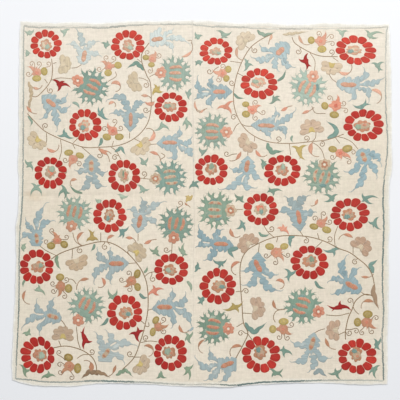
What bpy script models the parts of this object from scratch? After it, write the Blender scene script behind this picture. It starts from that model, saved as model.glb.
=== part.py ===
"""Square embroidered wrapping cloth of two linen loom widths, lying flat.

Each width is one thin closed sheet: an uneven outline, a hem turned over on
its three outer sides, a raised selvedge along the middle seam, and shallow
ripples that lift the edges a little off the surface it lies on.

+X is to the right, +Y towards the top hem, +Z up. The origin is in the middle
of the cloth, on the surface it rests on.
"""
import math
from collections import namedtuple

import bmesh
import bpy

MM = 0.001

# driving sizes, millimetres
HALF_WIDTH = 542.0        # widest reach to either side
HALF_HEIGHT = 523.0       # farthest reach of the end hems
CLOTH = 1.6               # linen with its silk
HEM = 2.3                 # three layers of linen at the turned hem
SELVEDGE = 2.2            # turned selvedge beside the seam
HEM_WIDTH = 11.0
HEM_STEP = 2.0            # the hem thins down to the cloth over this width
EDGE_ROUND = 2.0          # width of the rolled outer edge
EDGE_DROP = 0.6           # how far the rolled edge falls
SEAM_WIDTH = 5.0
SEAM_GAP = 0.3
CELL = 32.0               # size of one patch of cloth in the mesh

# outline: left edge, seam and right edge at heights up the cloth
Side = namedtuple("Side", "y left seam right")
SIDES = [
    Side(523, -518, -27, 534),
    Side(455, -521, -27, 537),
    Side(398, -521, -26, 539),
    Side(341, -521, -26, 540),
    Side(284, -523, -26, 541),
    Side(227, -522, -25, 541),
    Side(170, -522, -25, 541),
    Side(113, -525, -24, 542),
    Side(56, -522, -23, 534),
    Side(-1, -523, -23, 534),
    Side(-36, -524, -22, 534),
    Side(-70, -530, -22, 535),
    Side(-121, -531, -23, 532),
    Side(-178, -529, -24, 532),
    Side(-235, -532, -24, 533),
    Side(-292, -533, -24, 531),
    Side(-355, -538, -25, 530),
    Side(-417, -539, -25, 529),
    Side(-474, -542, -25, 530),
    Side(-523, -541, -25, 529),
]

# outline: bottom and top edges at places across the cloth
End = namedtuple("End", "x bottom top")
ENDS = [
    End(-542, -503, 521),
    End(-519, -510, 520),
    End(-479, -518, 518),
    End(-422, -521, 515),
    End(-365, -521, 518),
    End(-336, -517, 515),
    End(-279, -513, 515),
    End(-222, -512, 519),
    End(-165, -514, 521),
    End(-108, -518, 521),
    End(-51, -521, 522),
    End(6, -521, 523),
    End(63, -523, 517),
    End(92, -522, 515),
    End(120, -519, 515),
    End(177, -515, 516),
    End(234, -512, 511),
    End(291, -511, 511),
    End(348, -512, 515),
    End(405, -514, 513),
    End(462, -516, 511),
    End(502, -516, 512),
    End(542, -515, 512),
]

# ripples: centre, the way the crest runs, its length and width, its lift
Ripple = namedtuple("Ripple", "x y heading length width lift")
RIPPLES = [
    Ripple(-430, 500, 82, 210, 130, 2.4),
    Ripple(-270, 520, 96, 170, 110, 2.0),
    Ripple(-75, 515, 88, 150, 120, 1.4),
    Ripple(115, 520, 80, 190, 130, 2.0),
    Ripple(285, 515, 98, 230, 150, 2.6),
    Ripple(470, 505, 70, 160, 120, 1.8),
    Ripple(535, 395, 8, 170, 130, 1.6),
    Ripple(540, 85, -12, 260, 120, 3.2),
    Ripple(530, -150, 6, 150, 140, 1.5),
    Ripple(525, -330, -5, 190, 120, 1.9),
    Ripple(440, -505, 100, 150, 130, 1.7),
    Ripple(235, -512, 85, 210, 120, 2.4),
    Ripple(35, -522, 94, 250, 150, 3.0),
    Ripple(-215, -512, 88, 190, 140, 2.3),
    Ripple(-420, -520, 80, 160, 120, 1.6),
    Ripple(-530, -440, -10, 180, 130, 2.2),
    Ripple(-528, -215, 8, 210, 120, 2.0),
    Ripple(-522, -45, -6, 230, 130, 2.8),
    Ripple(-520, 160, 10, 170, 140, 1.6),
    Ripple(-519, 335, -8, 150, 120, 1.5),
]


def follow(table, key, column, at):
    """Read one named column of a table on a smooth curve through its rows."""
    rows = sorted(table, key=lambda row: getattr(row, key))
    place = [getattr(row, key) for row in rows]
    value = [getattr(row, column) for row in rows]
    last = len(rows) - 1
    at = min(max(at, place[0]), place[last])
    i = 0
    while i < last - 1 and at > place[i + 1]:
        i += 1

    def slope(k):
        a, b = max(k - 1, 0), min(k + 1, last)
        return (value[b] - value[a]) / (place[b] - place[a])

    span = place[i + 1] - place[i]
    t = (at - place[i]) / span
    rise = t * t * (3 - 2 * t)
    return (value[i] + (value[i + 1] - value[i]) * rise
            + span * (slope(i) * t * (1 - t) ** 2 - slope(i + 1) * t * t * (1 - t)))


def lift(x, y):
    """Height of the cloth's underside: nothing, but for the ripples."""
    z = 0.0
    for r in RIPPLES:
        a = math.radians(r.heading)
        dx, dy = x - r.x, y - r.y
        along = (dx * math.cos(a) + dy * math.sin(a)) / r.length
        across = (-dx * math.sin(a) + dy * math.cos(a)) / r.width
        reach = 1 - along * along - across * across
        if reach > 0:
            z += r.lift * reach * reach
    return z


def stations(length, start, end):
    """Distances along one side: close lines at each border, even between."""
    first, last = start[-1], length - end[-1]
    count = max(1, round((last - first) / CELL))
    middle = [first + (last - first) * k / count for k in range(1, count)]
    return list(start) + middle + [length - d for d in reversed(end)]


HEM_LINES = (0.0, EDGE_ROUND, HEM_WIDTH, HEM_WIDTH + HEM_STEP)
SEAM_LINES = (0.0, SEAM_WIDTH, SEAM_WIDTH + HEM_STEP)


def hem_height(distance):
    """Thickness of cloth and hem at a distance in from a hemmed edge."""
    if distance < EDGE_ROUND:
        return HEM - EDGE_DROP * (1 - distance / EDGE_ROUND)
    fade = min(max((distance - HEM_WIDTH) / HEM_STEP, 0.0), 1.0)
    return HEM + (CLOTH - HEM) * fade


def seam_height(distance):
    """Thickness beside the seam, where the selvedge is turned under."""
    fade = min(max((distance - SEAM_WIDTH) / HEM_STEP, 0.0), 1.0)
    return SELVEDGE + (CLOTH - SELVEDGE) * fade


def panel(name, left, right, across, seam_on_right):
    """One loom width as a closed sheet between two columns of the outline."""
    width, height = across[-1], 2 * HALF_HEIGHT
    up = stations(height, HEM_LINES, HEM_LINES)
    bm = bmesh.new()
    top, under = [], []
    for v in up:
        y0 = v - HALF_HEIGHT
        share = v / height
        xl, xr = left(y0), right(y0)
        top_row, under_row = [], []
        for u in across:
            x = xl + (xr - xl) * u / width
            y = (y0 + (1 - share) * (follow(ENDS, "x", "bottom", x) + HALF_HEIGHT)
                 + share * (follow(ENDS, "x", "top", x) - HALF_HEIGHT))
            to_hem = min(v, height - v, width - u if not seam_on_right else u)
            to_seam = width - u if seam_on_right else u
            thick = min(max(hem_height(to_hem), seam_height(to_seam)),
                        HEM - EDGE_DROP if to_hem == 0 else HEM)
            z = lift(x, y)
            top_row.append(bm.verts.new((x * MM, y * MM, (z + thick) * MM)))
            under_row.append(bm.verts.new((x * MM, y * MM, z * MM)))
        top.append(top_row)
        under.append(under_row)
    rows, columns = len(up), len(across)
    for j in range(rows - 1):
        for i in range(columns - 1):
            bm.faces.new((top[j][i], top[j][i + 1], top[j + 1][i + 1], top[j + 1][i]))
            bm.faces.new((under[j][i], under[j + 1][i], under[j + 1][i + 1], under[j][i + 1]))
    rim = ([(0, i) for i in range(columns)]
           + [(j, columns - 1) for j in range(1, rows)]
           + [(rows - 1, i) for i in range(columns - 2, -1, -1)]
           + [(j, 0) for j in range(rows - 2, 0, -1)])
    for (j0, i0), (j1, i1) in zip(rim, rim[1:] + rim[:1]):
        bm.faces.new((under[j0][i0], under[j1][i1], top[j1][i1], top[j0][i0]))
    bm.normal_update()
    mesh = bpy.data.meshes.new(name)
    bm.to_mesh(mesh)
    bm.free()
    mesh.shade_smooth()
    mesh.set_sharp_from_angle(angle=math.radians(40))
    obj = bpy.data.objects.new(name, mesh)
    bpy.context.scene.collection.objects.link(obj)
    return obj


def linen(name, colour):
    mat = bpy.data.materials.new(name)
    mat.use_nodes = True
    shader = mat.node_tree.nodes["Principled BSDF"]
    shader.inputs["Base Color"].default_value = (*colour, 1.0)
    shader.inputs["Roughness"].default_value = 0.9
    shader.inputs["Metallic"].default_value = 0.0
    mat.diffuse_color = (*colour, 1.0)
    return mat


def main():
    for obj in list(bpy.data.objects):
        bpy.data.objects.remove(obj, do_unlink=True)

    mean_left = HALF_WIDTH - 25
    mean_right = HALF_WIDTH + 25
    left_width = stations(mean_left, HEM_LINES, SEAM_LINES)
    right_width = stations(mean_right, SEAM_LINES, HEM_LINES)

    panel_left = panel(
        "panel_left",
        lambda y: follow(SIDES, "y", "left", y),
        lambda y: follow(SIDES, "y", "seam", y) - SEAM_GAP / 2,
        left_width, True)
    panel_right = panel(
        "panel_right",
        lambda y: follow(SIDES, "y", "seam", y) + SEAM_GAP / 2,
        lambda y: follow(SIDES, "y", "right", y),
        right_width, False)

    panel_left.data.materials.append(linen("linen_left", (0.86, 0.78, 0.64)))
    panel_right.data.materials.append(linen("linen_right", (0.86, 0.78, 0.64)))


main()
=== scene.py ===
"""Looks of the embroidered wrapping cloth.

Two loom widths of cream linen lie flat, hemmed all round and joined by one
seam. Red rosettes, green and blue palmettes, fans, small fruiting flowers,
sprigs and leaves are worked on them in floss silk, between scrolling vines.

Lengths are in millimetres and are turned into metres when a mesh is made.
The motifs' places are read off the view from straight above, in steps
of that view's frame: x runs to the right, y runs down, STEP millimetres each.
"""
import math
from collections import namedtuple

import bpy
import numpy as np
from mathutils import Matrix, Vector
from mathutils.geometry import delaunay_2d_cdt


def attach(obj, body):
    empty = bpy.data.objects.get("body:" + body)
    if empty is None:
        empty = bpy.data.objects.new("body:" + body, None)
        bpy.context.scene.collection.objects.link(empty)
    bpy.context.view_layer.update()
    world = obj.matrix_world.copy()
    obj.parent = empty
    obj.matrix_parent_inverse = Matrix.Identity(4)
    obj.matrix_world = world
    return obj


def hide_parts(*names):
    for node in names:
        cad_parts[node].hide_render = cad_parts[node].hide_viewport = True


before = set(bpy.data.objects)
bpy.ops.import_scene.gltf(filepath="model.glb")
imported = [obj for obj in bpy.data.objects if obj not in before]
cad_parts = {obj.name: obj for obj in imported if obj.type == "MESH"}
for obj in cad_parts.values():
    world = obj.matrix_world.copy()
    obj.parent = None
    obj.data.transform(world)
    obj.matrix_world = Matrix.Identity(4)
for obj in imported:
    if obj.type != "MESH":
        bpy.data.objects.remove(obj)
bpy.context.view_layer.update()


MM = 0.001
STEP = 2.85                          # millimetres in one step of the view's frame
MIDDLE = np.array((201.95, 203.55))  # the middle of the cloth in that frame

# ---------------------------------------------------------------------------
# the cloth's own sizes, as in its solids
# ---------------------------------------------------------------------------
HALF_WIDTH = 542.0
HALF_HEIGHT = 523.0
HEM_WIDTH = 11.0
LINEN = 0.85              # one layer of linen
HEM_RISE = 0.75           # the turned hem stands this much above the cloth
SEAM_RISE = 0.2
SEAM_WIDTH = 5.0
CELL = 6.5                # size of one patch of cloth in the mesh

Side = namedtuple("Side", "y left seam right")
SIDES = [
    Side(523, -518, -27, 534), Side(455, -521, -27, 537),
    Side(398, -521, -26, 539), Side(341, -521, -26, 540),
    Side(284, -523, -26, 541), Side(227, -522, -25, 541),
    Side(170, -522, -25, 541), Side(113, -525, -24, 542),
    Side(56, -522, -23, 534), Side(-1, -523, -23, 534),
    Side(-36, -524, -22, 534), Side(-70, -530, -22, 535),
    Side(-121, -531, -23, 532), Side(-178, -529, -24, 532),
    Side(-235, -532, -24, 533), Side(-292, -533, -24, 531),
    Side(-355, -538, -25, 530), Side(-417, -539, -25, 529),
    Side(-474, -542, -25, 530), Side(-523, -541, -25, 529),
]

End = namedtuple("End", "x bottom top")
ENDS = [
    End(-542, -503, 521), End(-519, -510, 520), End(-479, -518, 518),
    End(-422, -521, 515), End(-365, -521, 518), End(-336, -517, 515),
    End(-279, -513, 515), End(-222, -512, 519), End(-165, -514, 521),
    End(-108, -518, 521), End(-51, -521, 522), End(6, -521, 523),
    End(63, -523, 517), End(92, -522, 515), End(120, -519, 515),
    End(177, -515, 516), End(234, -512, 511), End(291, -511, 511),
    End(348, -512, 515), End(405, -514, 513), End(462, -516, 511),
    End(502, -516, 512), End(542, -515, 512),
]

Ripple = namedtuple("Ripple", "x y heading length width lift")
RIPPLES = [
    Ripple(-430, 500, 82, 210, 130, 2.4), Ripple(-270, 520, 96, 170, 110, 2.0),
    Ripple(-75, 515, 88, 150, 120, 1.4), Ripple(115, 520, 80, 190, 130, 2.0),
    Ripple(285, 515, 98, 230, 150, 2.6), Ripple(470, 505, 70, 160, 120, 1.8),
    Ripple(535, 395, 8, 170, 130, 1.6), Ripple(540, 85, -12, 260, 120, 3.2),
    Ripple(530, -150, 6, 150, 140, 1.5), Ripple(525, -330, -5, 190, 120, 1.9),
    Ripple(440, -505, 100, 150, 130, 1.7), Ripple(235, -512, 85, 210, 120, 2.4),
    Ripple(35, -522, 94, 250, 150, 3.0), Ripple(-215, -512, 88, 190, 140, 2.3),
    Ripple(-420, -520, 80, 160, 120, 1.6), Ripple(-530, -440, -10, 180, 130, 2.2),
    Ripple(-528, -215, 8, 210, 120, 2.0), Ripple(-522, -45, -6, 230, 130, 2.8),
    Ripple(-520, 160, 10, 170, 140, 1.6), Ripple(-519, 335, -8, 150, 120, 1.5),
]


def follow(table, key, column, at):
    """Read one named column of a table on a smooth curve through its rows."""
    rows = sorted(table, key=lambda row: getattr(row, key))
    place = np.array([getattr(row, key) for row in rows], float)
    value = np.array([getattr(row, column) for row in rows], float)
    last = len(rows) - 1
    slope = np.array([(value[min(k + 1, last)] - value[max(k - 1, 0)])
                      / (place[min(k + 1, last)] - place[max(k - 1, 0)])
                      for k in range(last + 1)])
    at = np.clip(np.asarray(at, float), place[0], place[last])
    i = np.clip(np.searchsorted(place, at, "left") - 1, 0, last - 1)
    span = place[i + 1] - place[i]
    t = (at - place[i]) / span
    rise = t * t * (3 - 2 * t)
    return (value[i] + (value[i + 1] - value[i]) * rise
            + span * (slope[i] * t * (1 - t) ** 2 - slope[i + 1] * t * t * (1 - t)))


def lift(x, y):
    """Height of the shallow ripples that raise the edges off the surface."""
    z = np.zeros(np.shape(x))
    for r in RIPPLES:
        a = math.radians(r.heading)
        dx, dy = x - r.x, y - r.y
        along = (dx * math.cos(a) + dy * math.sin(a)) / r.length
        across = (-dx * math.sin(a) + dy * math.cos(a)) / r.width
        z = z + r.lift * np.clip(1 - along ** 2 - across ** 2, 0, None) ** 2
    return z


def pucker(x, y):
    """Slight unevenness of washed linen drawn up by its stitches, 0 to 0.5."""
    a = np.sin(x / 13.1 + 0.9 * np.sin(y / 37) + 1.1) * np.sin(y / 15.7 + 0.8 * np.sin(x / 31) + 0.4)
    b = np.sin((x + 0.6 * y) / 27 + 2.0) * np.sin((y - 0.5 * x) / 23 + 0.7)
    c = np.sin(x / 61 + 0.3 * np.sin(y / 80)) * np.sin(y / 71 + 1.9)
    return 0.25 + 0.07 * a + 0.09 * b + 0.09 * c


CREASE_Y = 17.0           # the cloth was once folded in half along this line


def crease(x, y):
    """The old fold across the middle, a low soft ridge."""
    return 0.4 * np.exp(-((y - CREASE_Y) / 5.5) ** 2)


def ground(x, y):
    """Top of the single linen, which the stitches lie on."""
    return lift(x, y) + 0.05 + LINEN + pucker(x, y) + crease(x, y)


def over_hem(x, y):
    """Extra height of the turned hem at a place, for thread worked through it."""
    d = np.minimum(np.minimum(x - follow(SIDES, "y", "left", y), follow(SIDES, "y", "right", y) - x),
                   np.minimum(y - follow(ENDS, "x", "bottom", x), follow(ENDS, "x", "top", x) - y))
    return HEM_RISE * (1 - np.clip((d - HEM_WIDTH - 0.4) / 1.6, 0, 1))


def underside(x, y):
    return lift(x, y) + 0.05 + 0.4 * pucker(x, y) + crease(x, y)


# ---------------------------------------------------------------------------
# camera, floor and light
# ---------------------------------------------------------------------------
scene = bpy.context.scene
scene.view_settings.view_transform = "Standard"
scene.view_settings.look = "None"
scene.view_settings.exposure = 0.0
scene.view_settings.gamma = 1.0


def to_mm(x, y):
    """A place in the view's frame as millimetres on the cloth."""
    return (np.asarray(x) - MIDDLE[0]) * STEP, (MIDDLE[1] - np.asarray(y)) * STEP


camera_data = bpy.data.cameras.new("camera")
camera_data.lens = 100.0
camera_data.sensor_width = 36.0
camera_data.clip_end = 50.0
camera = bpy.data.objects.new("camera", camera_data)
scene.collection.objects.link(camera)
scene.camera = camera
aim_x, aim_y = to_mm(200, 200)
camera.location = (float(aim_x) * MM, float(aim_y) * MM, 400 * STEP * MM * 100.0 / 36.0)
camera.rotation_euler = (0, 0, 0)


def linear(*rgb):
    """An 8-bit display colour as linear light."""
    return tuple((c / 255 / 12.92) if c / 255 <= 0.04045 else ((c / 255 + 0.055) / 1.055) ** 2.4
                 for c in rgb)


def area_light(name, place, aim, size, watts, colour):
    data = bpy.data.lights.new(name, "AREA")
    data.shape = "RECTANGLE"
    data.size, data.size_y = size
    data.energy = watts
    data.color = colour
    lamp = bpy.data.objects.new(name, data)
    lamp.location = place
    lamp.rotation_euler = (Vector(aim) - Vector(place)).to_track_quat("-Z", "Y").to_euler()
    scene.collection.objects.link(lamp)
    return lamp


area_light("key", (0.7, 2.3, 3.3), (0.05, 0.25, 0.0), (2.6, 2.0), 114.0, (1.0, 0.99, 0.975))
area_light("fill", (-2.2, -1.9, 3.2), (0.0, 0.0, 0.0), (3.0, 3.0), 16.0, (0.95, 0.97, 1.0))
world = bpy.data.worlds.new("studio")
scene.world = world
world.use_nodes = True
world.node_tree.nodes["Background"].inputs["Color"].default_value = (0.93, 0.96, 1.0, 1.0)
world.node_tree.nodes["Background"].inputs["Strength"].default_value = 0.48


# ---------------------------------------------------------------------------
# materials
# ---------------------------------------------------------------------------
class Tree:
    """Short way to write a material's nodes."""

    def __init__(self, name):
        self.material = bpy.data.materials.new(name)
        self.material.use_nodes = True
        self.nodes = self.material.node_tree.nodes
        self.links = self.material.node_tree.links
        self.shader = self.nodes["Principled BSDF"]

    def add(self, kind, out=0, settings=None, **inputs):
        node = self.nodes.new(kind)
        for key, value in (settings or {}).items():
            setattr(node, key, value)
        for key, value in inputs.items():
            socket = node.inputs[int(key[1:])] if key[0] == "i" and key[1:].isdigit() else node.inputs[key]
            self.put(socket, value)
        return node.outputs[out]

    def put(self, socket, value):
        if isinstance(value, bpy.types.NodeSocket):
            self.links.new(value, socket)
        else:
            socket.default_value = value

    def math(self, operation, a, b=0.0, c=0.0):
        return self.add("ShaderNodeMath", settings={"operation": operation}, i0=a, i1=b, i2=c)

    def mix(self, share, a, b, blend="MIX"):
        node = self.nodes.new("ShaderNodeMix")
        node.data_type = "RGBA"
        node.blend_type = blend
        node.clamp_factor = True
        self.put(node.inputs[0], share)
        self.put(node.inputs[6], a if isinstance(a, bpy.types.NodeSocket) else (*a, 1.0))
        self.put(node.inputs[7], b if isinstance(b, bpy.types.NodeSocket) else (*b, 1.0))
        return node.outputs[2]

    def spread(self, value, low, high, to_low=0.0, to_high=1.0):
        node = self.nodes.new("ShaderNodeMapRange")
        node.clamp = True
        for k, v in enumerate((value, low, high, to_low, to_high)):
            self.put(node.inputs[k], v)
        return node.outputs[0]

    def noise(self, vector, scale, detail=2.0, rough=0.5):
        return self.add("ShaderNodeTexNoise", Vector=vector, Scale=scale, Detail=detail, Roughness=rough)

    def vector(self, x, y, z=0.0):
        return self.add("ShaderNodeCombineXYZ", X=x, Y=y, Z=z)

    def parts(self, vector):
        node = self.nodes.new("ShaderNodeSeparateXYZ")
        self.links.new(vector, node.inputs[0])
        return node.outputs[0], node.outputs[1], node.outputs[2]


def silk(name, fresh, faded, other, rim_shade=0.88, edge=None, edge_share=0.4, gloss=0.5, thread=0.95):
    """Floss silk laid in close rows: streaks along the thread with painted shade
    in the grooves between rows and at the ties, a darker rim that is partly
    painted shade where each domed patch turns down into the cloth, a pale edge
    where the threads dive into the cloth that also paints light into the
    crevices between patches, each patch a little lighter or darker as a painted
    sheen, worn and faded places, and a soft sheen."""
    t = Tree(name)
    stitch = t.add("ShaderNodeAttribute", out=1, settings={"attribute_name": "stitch"})
    tone = t.add("ShaderNodeAttribute", out=1, settings={"attribute_name": "tone"})
    u, v, rim = t.parts(stitch)
    fade, turn, seed = t.parts(tone)
    place = t.add("ShaderNodeTexCoord", out=3)
    shift = t.math("MULTIPLY", seed, 37.0)
    # rows of thread
    wander = t.noise(t.vector(t.math("MULTIPLY", u, 0.11), t.math("MULTIPLY", v, 0.35), shift), 1.0, 2.0)
    row = t.math("ADD", t.math("MULTIPLY", v, 2 * math.pi / thread), t.math("MULTIPLY", wander, 5.0))
    ridge = t.math("SINE", row)
    streak = t.noise(t.vector(t.math("MULTIPLY", u, 0.09), t.math("MULTIPLY", v, 1.15), shift), 1.0, 3.0, 0.6)
    fibre = t.noise(t.vector(t.math("MULTIPLY", u, 0.5), t.math("MULTIPLY", v, 6.0), shift), 1.0, 2.0, 0.6)
    tie = t.math("SINE", t.math("ADD", t.math("MULTIPLY", u, 2 * math.pi / 6.4),
                                t.math("MULTIPLY", t.math("FLOOR", t.math("DIVIDE", row, 2 * math.pi)), 2.1)))
    tie = t.spread(tie, 0.9, 1.0)
    # wear
    worn = t.spread(t.noise(place, 26.0, 4.0, 0.6), 0.45, 0.8)
    cast = t.spread(t.noise(place, 11.0, 2.0), 0.3, 0.7)
    colour = t.mix(t.math("ADD", fade, t.math("MULTIPLY", worn, 0.25)), fresh, faded)
    colour = t.mix(turn, colour, other)
    shade = t.spread(streak, 0.25, 0.75, 0.90, 1.08)
    skeins = t.noise(t.vector(t.math("MULTIPLY", u, 0.035), t.math("MULTIPLY", v, 0.3), shift), 1.0, 1.0)
    shade = t.math("MULTIPLY", shade, t.spread(skeins, 0.32, 0.68, 0.87, 1.08))
    # painted shade in the grooves between the rows of thread
    shade = t.math("MULTIPLY", shade, t.spread(ridge, -1.0, 0.6, 0.90, 1.02))
    # a darker rim: partly painted shade where the domed patch turns down into the cloth
    shade = t.math("MULTIPLY", shade, t.spread(rim, 0.0, 3.2, rim_shade, 1.02))
    # painted sheen: each patch a little lighter or darker, for the sheen that changes with the way its threads run
    shade = t.math("MULTIPLY", shade, t.spread(seed, 0.0, 1.0, 0.92, 1.06))
    shade = t.math("MULTIPLY", shade, t.spread(cast, 0.0, 1.0, 0.96, 1.03))
    # painted shade in the dips at the ties
    shade = t.math("MULTIPLY", shade, t.spread(tie, 0.0, 1.0, 1.0, 0.9))
    colour = t.mix(1.0, colour, t.vector(shade, shade, shade), "MULTIPLY")
    # a pale edge: partly linen showing where the threads dive in, partly painted light that lifts the shade in the
    # crevices between patches
    pale = t.spread(rim, 0.15, 1.15 if edge else 0.85, edge_share, 0.0)
    if edge:
        pale = t.math("MULTIPLY", pale, t.math("SUBTRACT", 1.0, turn))
    colour = t.mix(pale, colour, edge or linear(236, 224, 204))
    t.put(t.shader.inputs["Base Color"], colour)
    t.put(t.shader.inputs["Roughness"], t.spread(fibre, 0.2, 0.8, gloss - 0.08, gloss + 0.14))
    t.shader.inputs["Sheen Weight"].default_value = 0.12
    t.shader.inputs["Sheen Roughness"].default_value = 0.4
    t.shader.inputs["Specular IOR Level"].default_value = 0.3
    height = t.math("ADD", t.math("MULTIPLY", ridge, 0.5), t.math("MULTIPLY", fibre, 0.5))
    height = t.math("SUBTRACT", height, t.math("MULTIPLY", tie, 0.6))
    t.put(t.shader.inputs["Normal"],
          t.add("ShaderNodeBump", Strength=0.75, Distance=0.00016, Height=height))
    return t.material


def linen(name, slub_shift):
    """Plain-weave linen: warp and weft with painted shade where they dip, slubs,
    a mottled cream, a few old stains, a slightly greyer hem with a painted
    highlight along its fold, painted shade beside the seam, and painted shade
    and a painted highlight along the old fold."""
    t = Tree(name)
    place = t.add("ShaderNodeTexCoord", out=3)
    x, y, z = t.parts(place)
    x, y = t.math("MULTIPLY", x, 1000.0), t.math("MULTIPLY", y, 1000.0)
    pitch = 0.72
    sway = t.noise(t.vector(t.math("MULTIPLY", x, 0.02), t.math("MULTIPLY", y, 0.02), slub_shift), 1.0, 2.0)
    wx = t.math("ADD", t.math("MULTIPLY", x, 2 * math.pi / pitch), t.math("MULTIPLY", sway, 9.0))
    wy = t.math("ADD", t.math("MULTIPLY", y, 2 * math.pi / pitch), t.math("MULTIPLY", sway, 7.0))
    over = t.math("MULTIPLY", t.math("SINE", wx), t.math("SINE", wy))
    warp = t.noise(t.vector(t.math("MULTIPLY", x, 1.3), t.math("MULTIPLY", y, 0.035), slub_shift), 1.0, 3.0, 0.65)
    weft = t.noise(t.vector(t.math("MULTIPLY", x, 0.035), t.math("MULTIPLY", y, 1.3), slub_shift + 3.0), 1.0, 3.0, 0.65)
    mottle = t.noise(place, 38.0, 5.0, 0.62)
    broad = t.noise(place, 6.0, 3.0, 0.5)
    cream = t.mix(t.spread(broad, 0.35, 0.65), linear(238, 230, 212), linear(232, 222, 204))
    cream = t.mix(t.spread(mottle, 0.3, 0.75), cream, linear(242, 230, 214))
    # old stains at the left edge, at half height
    dx = t.math("DIVIDE", t.math("ADD", x, 478.0), 46.0)
    dy = t.math("DIVIDE", t.math("SUBTRACT", y, 22.0), 18.0)
    far = t.math("ADD", t.math("MULTIPLY", dx, dx), t.math("MULTIPLY", dy, dy))
    stain = t.math("MULTIPLY", t.spread(far, 0.0, 1.0, 0.35, 0.0), t.spread(mottle, 0.35, 0.6))
    cream = t.mix(stain, cream, linear(214, 188, 152))
    # the hem has bleached; along its fold it is paler still, partly wear and partly a painted highlight where the
    # rolled edge catches the light, which also lightens its shaded outer side
    hem, selvedge, _ = t.parts(t.add("ShaderNodeAttribute", out=1, settings={"attribute_name": "inward"}))
    hem = t.math("ADD", hem, t.spread(mottle, 0.3, 0.7, -2.2, 2.2))
    cream = t.mix(t.spread(hem, HEM_WIDTH - 1.0, HEM_WIDTH + 4.0, 0.85, 0.0), cream, linear(238, 234, 222))
    cream = t.mix(t.spread(hem, 1.5, 5.5, 0.9, 0.0), cream, linear(249, 248, 244))
    cream = t.mix(t.spread(selvedge, 1.0, SEAM_WIDTH + 2.0, 0.3, 0.0), cream, linear(246, 238, 224))
    # it has yellowed down the cloth, and it is a little darker towards both sides
    side = t.math("MULTIPLY", t.spread(t.math("ABSOLUTE", x), 250.0, 470.0, 0.0, 1.0),
                  t.spread(t.math("ABSOLUTE", y), 240.0, 440.0, 1.0, 0.0))
    cream = t.mix(t.spread(y, 60.0, 400.0, 1.0, 0.0), cream, t.mix(1.0, cream, t.vector(1.0, 0.985, 0.955), "MULTIPLY"))
    cream = t.mix(side, cream, t.mix(1.0, cream, t.vector(0.95, 0.95, 0.94), "MULTIPLY"))
    shade = t.math("MULTIPLY", t.spread(warp, 0.2, 0.8, 0.955, 1.035), t.spread(weft, 0.2, 0.8, 0.955, 1.035))
    # painted shade where the threads dip under each other
    shade = t.math("MULTIPLY", shade, t.spread(over, -1.0, 1.0, 0.965, 1.02))
    # thicker threads both ways and small clouds
    thick = t.noise(t.vector(t.math("MULTIPLY", x, 0.28), t.math("MULTIPLY", y, 0.025), slub_shift + 5.0), 1.0, 2.0, 0.6)
    cross = t.noise(t.vector(t.math("MULTIPLY", x, 0.025), t.math("MULTIPLY", y, 0.28), slub_shift + 7.0), 1.0, 2.0, 0.6)
    shade = t.math("MULTIPLY", shade, t.spread(thick, 0.28, 0.72, 0.955, 1.035))
    shade = t.math("MULTIPLY", shade, t.spread(cross, 0.28, 0.72, 0.945, 1.045))
    shade = t.math("MULTIPLY", shade, t.spread(t.noise(place, 95.0, 3.0, 0.6), 0.3, 0.7, 0.96, 1.06))
    # painted shade along both sides of the seam, least at the bottom
    seam_shade = t.math("MULTIPLY", t.spread(selvedge, 1.0, 4.5, 0.075, 0.0), t.spread(y, -250.0, 0.0, 0.2, 1.0))
    shade = t.math("MULTIPLY", shade, t.math("SUBTRACT", 1.0, seam_shade))
    # painted shade beside the old fold across the middle and a painted highlight along its ridge
    run = t.math("ADD", y, t.spread(broad, 0.3, 0.7, -3.0, 3.0))
    shade = t.math("MULTIPLY", shade, t.spread(t.math("ABSOLUTE", t.math("SUBTRACT", run, 30.0)), 2.0, 12.0, 0.95, 1.0))
    shade = t.math("MULTIPLY", shade, t.spread(t.math("ABSOLUTE", t.math("SUBTRACT", run, CREASE_Y)), 0.5, 7.0, 1.035, 1.0))
    colour = t.mix(1.0, cream, t.vector(shade, shade, shade), "MULTIPLY")
    t.put(t.shader.inputs["Base Color"], colour)
    t.put(t.shader.inputs["Roughness"], t.spread(mottle, 0.2, 0.8, 0.84, 0.95))
    t.shader.inputs["Sheen Weight"].default_value = 0.06
    t.shader.inputs["Specular IOR Level"].default_value = 0.2
    height = t.math("ADD", t.math("MULTIPLY", over, 0.5),
                    t.math("MULTIPLY", t.math("ADD", warp, weft), 1.2))
    height = t.math("ADD", height, t.math("MULTIPLY", mottle, 2.2))
    t.put(t.shader.inputs["Normal"],
          t.add("ShaderNodeBump", Strength=0.8, Distance=0.00018, Height=height))
    return t.material


def floor_finish():
    t = Tree("studio_floor")
    place = t.add("ShaderNodeTexCoord", out=3)
    soft = t.spread(t.noise(place, 1.2, 2.0), 0.3, 0.7)
    t.put(t.shader.inputs["Base Color"], t.mix(soft, (0.868, 0.872, 0.885), (0.882, 0.886, 0.90)))
    t.shader.inputs["Roughness"].default_value = 0.9
    t.shader.inputs["Specular IOR Level"].default_value = 0.15
    return t.material


floor_mesh = bpy.data.meshes.new("floor")
floor_mesh.from_pydata([(-6, -6, -0.0002), (6, -6, -0.0002), (6, 6, -0.0002), (-6, 6, -0.0002)], [], [(0, 1, 2, 3)])
floor = bpy.data.objects.new("floor", floor_mesh)
scene.collection.objects.link(floor)
floor_mesh.materials.append(floor_finish())

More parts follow.
